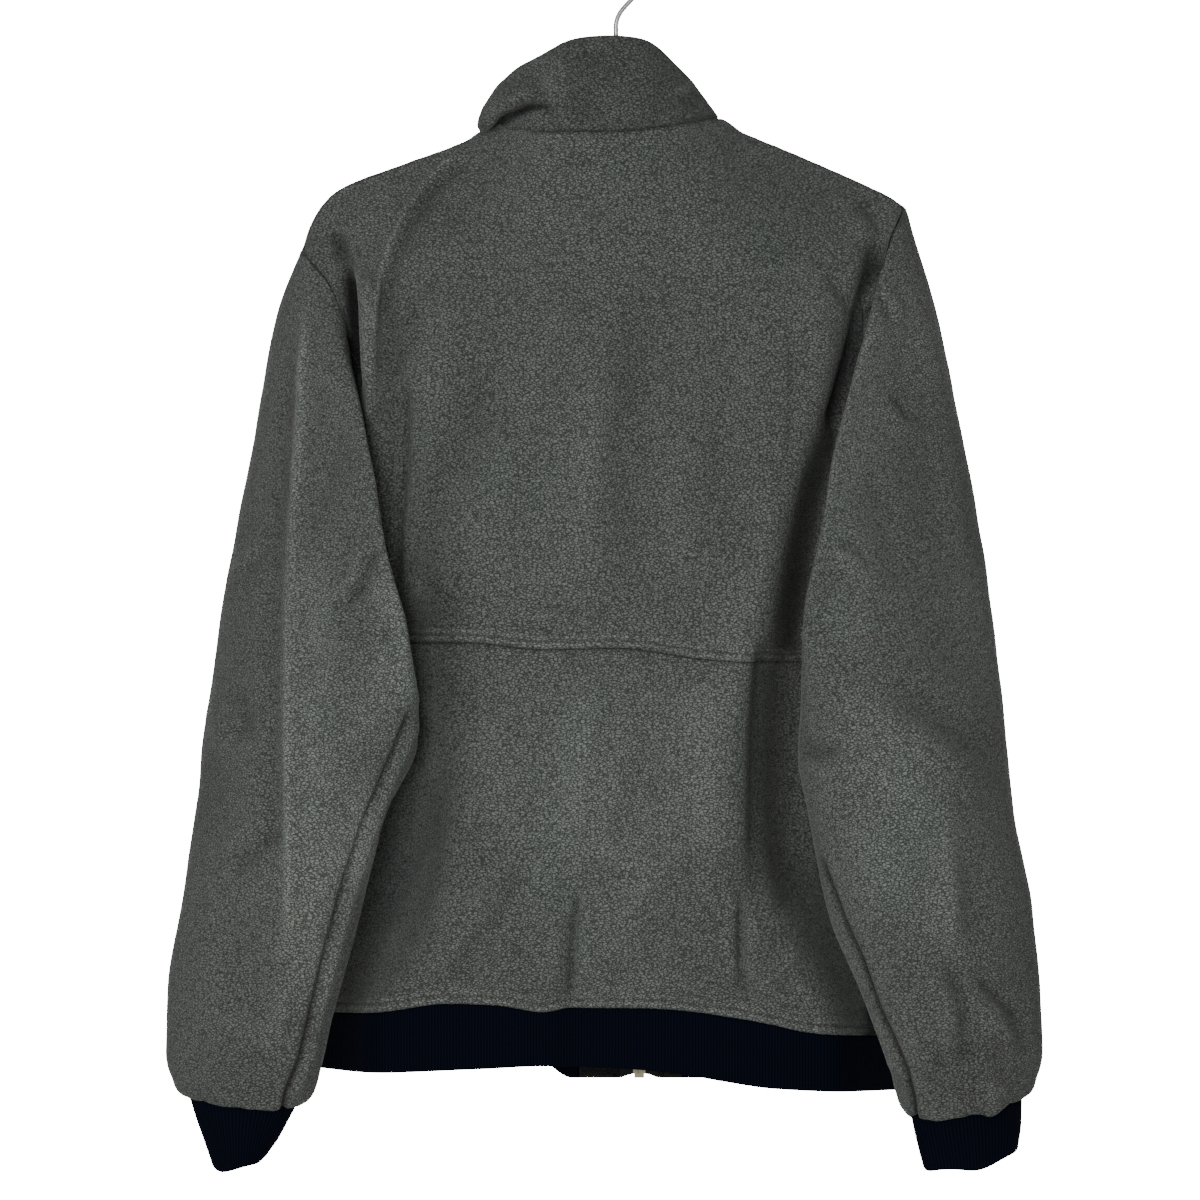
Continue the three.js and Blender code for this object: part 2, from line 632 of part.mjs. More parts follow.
// A closed wall from a grid of [outer, inner] corners, with rims along its open edges.
function wallGeometry(corners, closed, outward) {
  const rows = corners.length;
  const columns = corners[0].length;
  const positions = corners.flat(2).flatMap((corner) => corner.toArray());
  const index = [];
  const id = (i, j, face) => 2 * (i * columns + (j % columns)) + face;
  const quad = (a, b, c, d) => index.push(...(outward > 0 ? [a, b, c, a, c, d] : [a, c, b, a, d, c]));
  const lastColumn = closed ? columns : columns - 1;
  for (let i = 0; i < rows - 1; i += 1) {
    for (let j = 0; j < lastColumn; j += 1) {
      quad(id(i, j, 0), id(i, j + 1, 0), id(i + 1, j + 1, 0), id(i + 1, j, 0));
      quad(id(i, j, 1), id(i + 1, j, 1), id(i + 1, j + 1, 1), id(i, j + 1, 1));
    }
  }
  // A twisted rim cell is split along its valley, so that it bends away from its neighbour.
  const flat = corners.flat(2);
  const rimQuad = (p, q) => {
    const [b, c, d] = [p + 1, q + 1, q].map((corner) => flat[corner].clone().sub(flat[p]));
    if (b.cross(c).dot(d) * outward > 0) quad(p, p + 1, q + 1, q);
    else quad(p + 1, q + 1, q, p);
  };
  for (let j = 0; j < lastColumn; j += 1) {
    rimQuad(id(0, j, 0), id(0, j + 1, 0));
    rimQuad(id(rows - 1, j + 1, 0), id(rows - 1, j, 0));
  }
  for (let i = 0; !closed && i < rows - 1; i += 1) {
    rimQuad(id(i + 1, 0, 0), id(i, 0, 0));
    rimQuad(id(i, columns - 1, 0), id(i + 1, columns - 1, 0));
  }
  return indexed(positions, index);
}

// A solid through closed rings of points, each end closed by a fan about the ring's centre.
function loftGeometry(rings) {
  const count = rings[0].length;
  const positions = rings.flat().flatMap((point) => point.toArray());
  const index = [];
  for (let i = 0; i < rings.length - 1; i += 1) {
    for (let j = 0; j < count; j += 1) {
      const [a, b] = [i * count + j, i * count + ((j + 1) % count)];
      index.push(a, b, b + count, a, b + count, a + count);
    }
  }
  for (const [ring, flip] of [[0, true], [rings.length - 1, false]]) {
    const centre = rings[ring].reduce((sum, point) => sum.add(point), vec(0, 0, 0)).divideScalar(count);
    const hub = positions.push(...centre.toArray()) / 3 - 1;
    for (let j = 0; j < count; j += 1) {
      const [a, b] = [ring * count + j, ring * count + ((j + 1) % count)];
      index.push(...(flip ? [hub, b, a] : [hub, a, b]));
    }
  }
  return indexed(positions, index);
}

function indexed(positions, index) {
  const geometry = new THREE.BufferGeometry();
  geometry.setAttribute('position', new THREE.Float32BufferAttribute(positions, 3));
  geometry.setIndex(index);
  return geometry;
}

function meshOf(name, colour, geometry) {
  geometry.computeVertexNormals();
  const mesh = new THREE.Mesh(geometry, new THREE.MeshStandardMaterial(COLOURS[colour]));
  mesh.name = name;
  return mesh;
}

// Joins and cuts closed geometries.
const wasm = await Module();
wasm.setup();
function solid(geometry) {
  const bare = geometry.clone();
  bare.deleteAttribute('normal');
  bare.deleteAttribute('uv');
  const merged = mergeVertices(bare, 1e-4);
  return new wasm.Manifold(new wasm.Mesh({
    numProp: 3,
    vertProperties: merged.attributes.position.array,
    triVerts: new Uint32Array(merged.index.array),
  }));
}
function fromSolid(body) {
  const { vertProperties, triVerts } = body.getMesh();
  return indexed(Array.from(vertProperties), Array.from(triVerts));
}

/*
 * The line down one side of the zip, from the collar's top to the foot of the tab: each edge
 * point, the unit step from it across the cloth, and how far behind it the tape's face lies.
 */
function zipLine(pieces, side) {
  const stretch = (name, fromStart) => {
    const { grid, thickness } = pieces.get(name);
    return grid.map((row) => {
      const [edge, next] = fromStart ? [row[0], row[1]] : [row.at(-1), row.at(-2)];
      const step = next.clone().sub(edge).normalize();
      return { edge, step, behind: (thickness / 2 + TAPE_GAP) / abs(step.x) };
    });
  };
  return [
    ...stretch('collar', side === 'left').reverse(),
    ...stretch(`front_${side}`, false).slice(1, -1),
    ...stretch(`hem_tab_${side}`, false),
  ];
}

// A tape runs from the teeth to behind the cloth's edge and on under the cloth.
function zipTape(name, line, way) {
  return meshOf(name, 'tape', loftGeometry(line.map(({ edge, step, behind }) => {
    const inner = edge.clone().add(vec(way * (FRONT_EDGE - TAPE_INNER), -behind, 0));
    const under = edge.clone().add(vec(0, -behind, 0));
    const outer = under.clone().addScaledVector(step, TAPE_UNDER);
    const back = (point) => point.clone().add(vec(0, -TAPE, 0));
    const ring = [back(inner), inner, under, outer, back(outer), back(under)];
    return way > 0 ? ring.reverse() : ring;
  })));
}

function zipParts(pieces) {
  const [left, right] = [zipLine(pieces, 'left'), zipLine(pieces, 'right')];
  const centre = left.map(({ edge, behind }, i) => {
    const { x, y, z } = edge.clone().add(right[i].edge).divideScalar(2);
    return { x, y, z, rear: SEAM_GAP + TEETH_REAR_GAP - max(behind, right[i].behind) };
  });
  const foot = centre.at(-1);
  const teeth = [...centre.slice(0, -1), { ...foot, z: foot.z + BOX_HEIGHT + SEAM_GAP }];
  const teethRings = teeth.map(({ x, y, z, rear }) => [
    vec(x - TEETH_HALF, y + rear, z), vec(x - TEETH_HALF, y + TEETH_FRONT, z),
    vec(x + TEETH_HALF, y + TEETH_FRONT, z), vec(x + TEETH_HALF, y + rear, z),
  ]);
  return [
    zipTape('zip_tape_left', left, 1),
    zipTape('zip_tape_right', right, -1),
    meshOf('zip_teeth', 'teeth', loftGeometry(teethRings)),
    zipBox(foot),
    ...zipSlider(centre),
  ];
}

function zipBox({ x, y, z, rear }) {
  const box = new THREE.BoxGeometry(2 * BOX_HALF, BOX_DEPTH, BOX_HEIGHT);
  box.translate(x, y + rear + BOX_DEPTH / 2, z + BOX_HEIGHT / 2);
  return meshOf('zip_box', 'box', box);
}

// The slider stands on the teeth; the pull's top bar passes under the slider's bridge.
function zipSlider(line) {
  const { x } = read(line, 'z', SLIDER_Z);
  const heights = [-1, 0, 1].map((end) => SLIDER_Z + end * SLIDER.height / 2);
  const base = max(...heights.map((z) => read(line, 'z', z).y)) + TEETH_FRONT + SEAM_GAP;
  const place = (geometry, dy, dz) => geometry.translate(x, base + dy, SLIDER_Z + dz);
  const plate = new THREE.BoxGeometry(SLIDER.width, SLIDER.thickness, SLIDER.height);
  const bridge = new THREE.BoxGeometry(SLIDER.bridgeWidth, SLIDER.bridgeRise, SLIDER.bridgeHeight);
  const gap = new THREE.BoxGeometry(
    2 * SLIDER.bridgeWidth, SLIDER.bridgeRise - SLIDER.bar, SLIDER.bridgeHeight - 2 * SLIDER.bar,
  );
  place(plate, SLIDER.thickness / 2, 0);
  place(bridge, SLIDER.thickness + SLIDER.bridgeRise / 2, 0);
  place(gap, SLIDER.thickness + (SLIDER.bridgeRise - SLIDER.bar) / 2, 0);
  const slider = solid(plate).add(solid(bridge).subtract(solid(gap)));
  const pull = pullShape();
  const hinge = SLIDER.thickness + (SLIDER.bridgeRise - SLIDER.bar) / 2;
  const drop = SLIDER.bar + PULL_CLEARANCE + PULL.bar / 2;
  place(pull, hinge - PULL.thickness / 2, SLIDER.bridgeHeight / 2 - drop);
  return [
    meshOf('zip_slider', 'nickel', fromSolid(slider)),
    meshOf('zip_pull', 'nickel', pull),
  ];
}

// A flat tab with an eye; its top bar is centred on the origin and it hangs down from there.
function pullShape() {
  const { width, length, bar, eyeHalf, eyeLength, thickness } = PULL;
  const shape = new THREE.Shape();
  const foot = bar / 2 - length;
  const round = width / 2;
  shape.moveTo(-width / 2, bar / 2);
  shape.lineTo(-width / 2, foot + round);
  shape.absarc(0, foot + round, round, PI, 2 * PI, false);
  shape.lineTo(width / 2, bar / 2);
  shape.closePath();
  const eye = new THREE.Path();
  eye.moveTo(-eyeHalf, -bar / 2);
  eye.lineTo(-eyeHalf, -bar / 2 - eyeLength);
  eye.lineTo(eyeHalf, -bar / 2 - eyeLength);
  eye.lineTo(eyeHalf, -bar / 2);
  eye.closePath();
  shape.holes.push(eye);
  const plate = new THREE.ExtrudeGeometry(shape, { depth: thickness, bevelEnabled: false, curveSegments: 6 });
  return plate.rotateX(PI / 2).translate(0, thickness, 0);
}

// The hanger's bar follows the shoulder line a little below it, and rises to its crest.
function barPoint(x) {
  const shoulder = read(TOP_LINE, 'x', x).z;
  const ease = smooth((abs(x) - CREST_HALF) / CREST_SLOPE);
  const below = mix(ARM_CLEARANCE, TIP_CLEARANCE, (x / ARM_HALF) ** 4);
  return vec(x, 0, mix(ARM_CREST, shoulder - below, ease) - ARM_HEIGHT / 2);
}

function hangerParts() {
  const rings = numbers(ARM_STATIONS + 1).map((i) => {
    const share = i / ARM_STATIONS * 2 - 1;
    const middle = barPoint(share * ARM_HALF);
    const taper = abs(share) === 1 ? TIP_TAPER : mix(1, ARM_TAPER, abs(share));
    const lift = (1 - taper) * ARM_TAPER * ARM_HEIGHT / 2;
    return numbers(ARM_SIDES).map((k) => {
      const angle = 2 * PI * k / ARM_SIDES;
      return middle.clone().add(vec(
        0, cos(angle) * ARM_THICKNESS / 2 * taper, sin(angle) * ARM_HEIGHT / 2 * taper + lift,
      ));
    });
  });
  const socket = new THREE.CylinderGeometry(
    WIRE_RADIUS + SEAM_GAP, WIRE_RADIUS + SEAM_GAP, 2 * HOOK_SOCKET, SOCKET_SIDES,
  );
  socket.rotateX(PI / 2).translate(0, 0, ARM_CREST);
  const bar = solid(loftGeometry(rings)).subtract(solid(socket));
  return [
    meshOf('hanger_bar', 'wood', fromSolid(bar)),
    meshOf('hanger_hook', 'steel', hookGeometry()),
  ];
}

// A stem up through the collar, a bend to one side and a turn over the rail.
function hookGeometry() {
  const centre = WIRE_RADIUS - HOOK_RADIUS;
  const foot = ARM_CREST - HOOK_SOCKET + SEAM_GAP;
  const path = new THREE.CurvePath();
  path.add(new THREE.LineCurve3(vec(0, 0, foot), vec(0, 0, centre - STEM_TOP)));
  path.add(new THREE.CubicBezierCurve3(
    vec(0, 0, centre - STEM_TOP),
    vec(0, 0, centre - STEM_BEND),
    vec(HOOK_RADIUS, 0, centre - HOOK_BEND),
    vec(HOOK_RADIUS, 0, centre),
  ));
  const turn = numbers(9).map((i) => {
    const angle = i / 8 * HOOK_TURN;
    return vec(HOOK_RADIUS * cos(angle), 0, centre + HOOK_RADIUS * sin(angle));
  });
  path.add(new THREE.CatmullRomCurve3(turn));
  const wire = new THREE.Shape();
  numbers(WIRE_SIDES).forEach((k) => {
    const angle = 2 * PI * k / WIRE_SIDES;
    wire[k ? 'lineTo' : 'moveTo'](WIRE_RADIUS * cos(angle), WIRE_RADIUS * sin(angle));
  });
  wire.closePath();
  return new THREE.ExtrudeGeometry(wire, { steps: HOOK_STEPS, extrudePath: path, bevelEnabled: false });
}

function clothPieces() {
  const backUpper = backGrid(0, WAIST_ROW, (start) => topPoint('back', start).z, waistAt);
  const backLower = backGrid(WAIST_ROW, HEM_ROW, (_, x) => waistAt(x), hemAt);
  const fronts = { left: frontGrid('left'), right: frontGrid('right') };
  const lastColumn = BACK_COLUMNS.length - 1;
  const sleeve = (side, column) => sleeveGrid(
    side, (row) => backUpper[row][column], (row) => fronts[side][row][0],
  );
  return [
    new Cloth('back_upper', 'fleece', FLEECE, backUpper, { outward: -1 }),
    new Cloth('back_lower', 'fleece', FLEECE, backLower, { outward: -1 }),
    new Cloth('front_left', 'fleece', FLEECE, fronts.left, { outward: 1 }),
    new Cloth('front_right', 'fleece', FLEECE, fronts.right, { outward: -1 }),
    new Cloth('collar', 'fleece', DOUBLE_FLEECE, collarGrid(fronts.left, backUpper, fronts.right)),
    new Cloth('sleeve_left', 'fleece', FLEECE, sleeve('left', 0), { closed: true, outward: -1 }),
    new Cloth('sleeve_right', 'fleece', FLEECE, sleeve('right', lastColumn), { closed: true }),
    new Cloth('cuff_left', 'rib', RIB, cuffGrid('left'), { closed: true, outward: -1 }),
    new Cloth('cuff_right', 'rib', RIB, cuffGrid('right'), { closed: true }),
    new Cloth('hem_rib', 'rib', RIB, hemGrid(fronts, backLower), { outward: -1 }),
    new Cloth('hem_tab_left', 'fleece', DOUBLE_FLEECE, tabGrid(fronts.left)),
    new Cloth('hem_tab_right', 'fleece', DOUBLE_FLEECE, tabGrid(fronts.right), { outward: -1 }),
  ];
}

const cloth = clothPieces();
const seams = seamFacings(cloth);
const group = new THREE.Group();
group.add(...cloth.map((piece) => piece.mesh(seams)));
group.add(...zipParts(new Map(cloth.map((piece) => [piece.name, piece]))));
group.add(...hangerParts());

export default group;
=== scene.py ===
"""Warm-up jacket on a hanger, drawn over the frame of its solids.

Metres, +Z up, +Y the way a wearer would face. The tables below are in millimetres, in the same
frame as the solids; surfaces are functions of two parameters evaluated on whole arrays.
"""

import logging
import math
from collections.abc import Iterable, Sequence
from dataclasses import dataclass, field, replace
from enum import Enum
from typing import TypeVar

import bpy
import numpy as np
from bpy.types import Material, Node, NodeSocket, NodeTree, Object
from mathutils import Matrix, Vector


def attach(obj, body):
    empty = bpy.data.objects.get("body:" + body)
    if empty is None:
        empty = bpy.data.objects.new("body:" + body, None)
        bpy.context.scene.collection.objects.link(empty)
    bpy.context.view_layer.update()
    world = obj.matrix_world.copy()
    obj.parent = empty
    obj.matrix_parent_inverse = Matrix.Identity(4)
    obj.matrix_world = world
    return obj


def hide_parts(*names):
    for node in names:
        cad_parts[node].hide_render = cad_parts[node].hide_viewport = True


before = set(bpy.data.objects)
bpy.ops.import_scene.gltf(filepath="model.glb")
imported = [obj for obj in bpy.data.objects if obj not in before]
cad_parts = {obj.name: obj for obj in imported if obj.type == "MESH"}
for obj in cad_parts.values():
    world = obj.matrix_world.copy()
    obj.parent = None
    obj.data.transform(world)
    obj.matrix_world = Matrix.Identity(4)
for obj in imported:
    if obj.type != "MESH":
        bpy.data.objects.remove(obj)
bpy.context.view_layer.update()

Array = np.ndarray
Triple = tuple[float, float, float]
Spread = tuple[int, float]
Choice = TypeVar("Choice")
MM = 0.001
# Thicknesses of the cloths, in millimetres.
FLEECE_THICK = 2.4
DOUBLED_THICK = 4.4
RIB_THICK = 3.6
TAPE_THICK = 0.9
# The rounding of the zip's hard edges, in metres.
ZIP_BEVEL = 0.25 * MM
log = logging.getLogger("jacket")


class Side(Enum):
    """The wearer's left or right side."""

    LEFT = "left"
    RIGHT = "right"

    def pick(self, left: Choice, right: Choice) -> Choice:
        """Choose a value by side."""
        return left if self is Side.LEFT else right


class Face(Enum):
    """The back or the front of the body."""

    BACK = "back"
    FRONT = "front"


# ---------------------------------------------------------------- tables of the form


class Table:
    """Rows of numbers with named columns, read between rows on a monotone cubic."""

    def __init__(self, names: str, rows: Sequence[Sequence[float]]) -> None:
        """Store the rows by column.

        Args:
            names: Column names, separated by spaces.
            rows: One sequence of numbers per row.
        """
        values = np.array(rows, float)
        self.columns: dict[str, Array] = {n: values[:, i] for i, n in enumerate(names.split())}

    def read(self, by: str, at: Array | float) -> dict[str, Array]:
        """Read every column where column ``by`` equals ``at``.

        Args:
            by: The column that orders the rows.
            at: Where to read, of any shape.

        Returns:
            The value of each column, of the shape of ``at``; flat beyond the ends.
        """
        at = np.asarray(at, float)
        knots = self.columns[by]
        way = 1.0 if knots[-1] > knots[0] else -1.0
        k = np.clip(np.searchsorted(way * knots, way * at, side="left") - 1, 0, len(knots) - 2)
        span = knots[k + 1] - knots[k]
        q = np.clip((at - knots[k]) / span, 0, 1)
        found = {}
        for name, column in self.columns.items():
            slopes = np.diff(column) / np.diff(knots)
            before, after = slopes[:-1], slopes[1:]
            same = before * after > 0
            inner = np.where(same, 2 * before * after / np.where(same, before + after, 1), 0)
            tangents = np.concatenate([slopes[:1], inner, slopes[-1:]])
            start, end = column[k], column[k + 1]
            leave, arrive = tangents[k] * span, tangents[k + 1] * span
            bend = 3 * (end - start) - 2 * leave - arrive
            found[name] = start + q * (leave + q * (bend + q * (2 * (start - end) + leave + arrive)))
        return found


TOP_LINE = Table("x z", [
    [-226, -213], [-221, -197], [-212, -181], [-199, -169], [-156, -152], [-110, -135],
    [-85, -122], [-52, -129], [0, -129], [30, -126], [60, -120.5], [73, -118],
    [91, -128], [122, -141], [175, -164], [198, -175], [208, -182],
])
WAIST_LINE = Table("x z", [
    [-213, -495], [-109, -495], [-50, -500], [0, -499], [64, -507], [94, -509], [207, -505],
])
HEM_LINE = Table("x z", [
    [-216, -762], [-175, -760], [-119, -753], [-84, -754], [-52, -759], [-32, -756], [17, -756],
    [49, -758], [77, -762], [106, -767], [140, -774], [207, -779],
])
RIB_LINE = Table("x z", [
    [-216, -802], [-183, -803], [-97, -800], [-55, -798], [9, -800], [49, -804], [77, -809],
    [111, -814], [146, -816], [207, -818],
])
CENTRE_FRONT = Table("z x y", [
    [-130, -4, 50], [-158, -4, 54], [-188, -2, 52], [-300, 1, 63], [-450, 6, 70], [-600, 11, 70],
    [-768, 17, 60], [-811, 18, 56],
])
ARMHOLE = {
    Side.LEFT: Table("z x", [
        [-213, -226], [-224, -217], [-238, -206], [-251, -200], [-268, -195], [-300, -190],
        [-350, -188], [-410, -194], [-458, -207],
    ]),
    Side.RIGHT: Table("z x", [
        [-182, 208], [-195, 202], [-204, 198], [-218, 194], [-242, 187], [-270, 182],
        [-320, 180], [-380, 186], [-437, 201],
    ]),
}
SIDE_SEAM = {
    Side.LEFT: Table("z x y", [[-458, -207, 0], [-500, -212, 16], [-640, -213, 22], [-802, -216, 20]]),
    Side.RIGHT: Table("z x y", [[-437, 201, 0], [-490, 206, 16], [-640, 206, 22], [-818, 207, 20]]),
}
BODY = Table("z turn_left turn_right back front", [
    [-120, -150, 152, -46, 50],
    [-213, -160, 176, -50, 54],
    [-270, -160, 165, -57, 58],
    [-349, -152, 142, -65, 62],
    [-429, -141, 122, -71, 66],
    [-493, -130, 106, -74, 66],
    [-565, -127, 93, -76, 66],
    [-645, -123, 93, -74, 66],
    [-717, -141, 132, -68, 60],
    [-760, -172, 156, -61, 56],
    [-819, -179, 167, -58, 52],
])
BACK_FOLDS = Table("x1 z1 x2 z2 width depth", [
    [-179, -243, -178, -330, 9, -13],
    [-153, -330, -150, -480, 14, 7],
    [-60, -175, -40, -300, 26, -4],
    [60, -230, 40, -420, 26, 4],
    [172, -262, 161, -335, 12, 13],
    [157, -355, 130, -490, 13, 28],
    [124, -525, 120, -640, 22, 13],
    [89, -650, 92, -740, 10, 6],
    [-30, -700, -32, -752, 12, 5],
    [-110, -640, -70, -740, 24, -5],
])
SLEEVE_COLUMNS = "place ox oy oz bx by ix iy iz fx fy"


def sections(rows: Sequence[Sequence[float]]) -> Table:
    """Make a table of tube sections: outer, behind, inner and front points, numbered from 0."""
    return Table(SLEEVE_COLUMNS, [[place, *row] for place, row in enumerate(rows)])


SLEEVE = {
    Side.LEFT: sections([
        [-226, 0, -213, -189, -48, -207, 0, -458, -179, 44],
        [-239, -3, -256, -178, -70, -226, -10, -462, -229, 44],
        [-247, -7, -318, -170, -86, -205, -44, -482, -241, 36],
        [-258, -13, -382, -168, -97, -167, -68, -508, -240, 16],
        [-278, -24, -462, -197, -107, -144, -80, -539, -230, -10],
        [-294, -38, -560, -223, -114, -143, -85, -567, -219, -26],
        [-299, -44, -607, -229, -118, -164, -88, -616, -225, -32],
        [-309, -52, -672, -239, -118, -182, -88, -681, -240, -36],
        [-320, -58, -743, -250, -116, -198, -88, -742, -254, -40],
        [-320, -62, -787, -260, -112, -210, -86, -792, -264, -44],
        [-314, -66, -809, -263, -107, -216, -84, -814, -266, -50],
        [-303, -70, -819, -267, -97, -230, -80, -825, -268, -58],
    ]),
    Side.RIGHT: sections([
        [208, 0, -182, 181, -48, 201, 0, -437, 171, 44],
        [221, -3, -240, 166, -70, 220, -10, -442, 217, 44],
        [228, -7, -302, 153, -86, 195, -44, -464, 231, 36],
        [243, -13, -368, 150, -97, 157, -68, -492, 228, 16],
        [264, -24, -448, 173, -107, 136, -80, -525, 212, -10],
        [278, -38, -562, 209, -114, 130, -85, -571, 207, -26],
        [283, -44, -613, 215, -118, 138, -88, -620, 213, -32],
        [295, -52, -675, 225, -118, 151, -88, -682, 223, -36],
        [302, -58, -743, 239, -116, 177, -88, -745, 238, -40],
        [303, -62, -787, 246, -112, 194, -86, -792, 248, -44],
        [296, -66, -811, 248, -107, 201, -84, -818, 250, -50],
        [288, -70, -819, 251, -97, 212, -80, -832, 252, -58],
    ]),
}
CUFF = {
    Side.LEFT: sections([
        [-303, -70, -819, -267, -97, -230, -80, -825, -268, -58],
        [-294, -74, -845, -268, -99, -242, -80, -849, -267, -54],
        [-286, -74, -871, -268, -100, -251, -76, -865, -266, -50],
    ]),
    Side.RIGHT: sections([
        [288, -70, -819, 251, -97, 212, -80, -832, 252, -58],
        [287, -72, -839, 253, -97, 216, -80, -852, 254, -58],
        [285, -74, -858, 255, -96, 221, -78, -872, 256, -58],
    ]),
}


# ---------------------------------------------------------------- the jacket's form


def vec(x: Array | float, y: Array | float, z: Array | float) -> Array:
    """Stack three coordinates into points, with a last axis of three."""
    return np.stack(np.broadcast_arrays(x, y, z), -1).astype(float)


def mix(a: Array | float, b: Array | float, share: Array | float) -> Array:
    """Blend two values: a at share 0 and b at share 1."""
    return np.asarray(a + (b - a) * share)


def smooth(share: Array) -> Array:
    """Ease a share in and out: 3s^2 - 2s^3, held within 0 and 1."""
    s = np.clip(share, 0, 1)
    return s * s * (3 - 2 * s)


def bell(away: Array, width: Array | float) -> Array:
    """Fall off on a bell from 1 at zero: exp(-(away / width)^2)."""
    return np.exp(-((away / width) ** 2))


def graded(start: float, stop: float, count: int, pack: float = 0.7) -> Array:
    """Space values more finely towards both ends: u - pack * sin(2 pi u) / (2 pi).

    Args:
        start: First value.
        stop: Last value.
        count: How many values.
        pack: 0 for even spacing, towards 1 for very fine ends.

    Returns:
        The values.
    """
    u = np.linspace(0, 1, count)
    values = start + (stop - start) * (u - pack * np.sin(2 * np.pi * u) / (2 * np.pi))
    values[[0, -1]] = start, stop
    return values


@dataclass(frozen=True)
class FormSizes:
    """Driving sizes of the jacket's form, in millimetres, the same as those of its solids."""

    neck_x: float = -6.0
    neck_half: float = 79.0
    neck_back: float = 50.0
    neck_front: float = 52.0
    neck_fall: float = 1.3
    front_edge: float = 4.5
    shoulder_drop: float = 170.0
    corner_ease: float = 12.0
    armhole_back: float = 38.0
    armhole_front: float = 44.0
    armhole_scoop: float = 12.0
    front_turn: float = 30.0
    underarm_dip: float = 28.0
    dip_start: float = 0.03
    dip_spread: float = 0.12
    armhole_rows: float = 10.0
    waist_row: float = 12.0
    hem_row: float = 18.0
    front_hem: float = -768.0
    front_rib: float = -811.0
    rib_keep: float = 50.0
    rib_ease: float = 25.0
    fold_fade: float = 12.0
    rib_draw: float = 0.05
    sleeve_head_rows: float = 1.6
    tab_start: tuple[float, float] = (-44.0, 32.0)
    shoulder_ends: tuple[float, float] = (-226.0, 208.0)
    collar_ends: tuple[float, float] = (-85.0, 73.0)
    heights: dict[Side, Triple] = field(default_factory=lambda: {
        Side.LEFT: (-495.0, -762.0, -802.0), Side.RIGHT: (-505.0, -779.0, -818.0),
    })
    collar_middle: tuple[Triple, ...] = (
        (-4, 54, -158), (-84, 2, -106), (-8, -49, -92), (58, 2, -102),
    )
    collar_top: tuple[Triple, ...] = (
        (-4, 50, -130), (-58, 4, -88), (-8, -40, -60), (43, 4, -86),
    )
    roll_height: float = 0.3
    roll_spread: float = 0.18
    roll_angle: float = 2.0
    roll_out: float = -13.0
    roll_down: float = -8.0


def oval(a: Array, b: Array, c: Array, d: Array, angle: Array) -> Array:
    """Pass a closed curve through four points at 0, 90, 180 and 270 degrees.

    Args:
        a: The point at 0 degrees, and so on.
        b: The point at 90 degrees.
        c: The point at 180 degrees.
        d: The point at 270 degrees.
        angle: Angles in radians, of one axis less than the points.

    Returns:
        Points of the curve.
    """
    cos, sin = np.cos(angle)[..., None], np.sin(angle)[..., None]
    bulge = (b + d) / 2 - (a + c) / 2
    return (a + c) / 2 + cos * (a - c) / 2 + sin * (b - d) / 2 + sin**2 * bulge


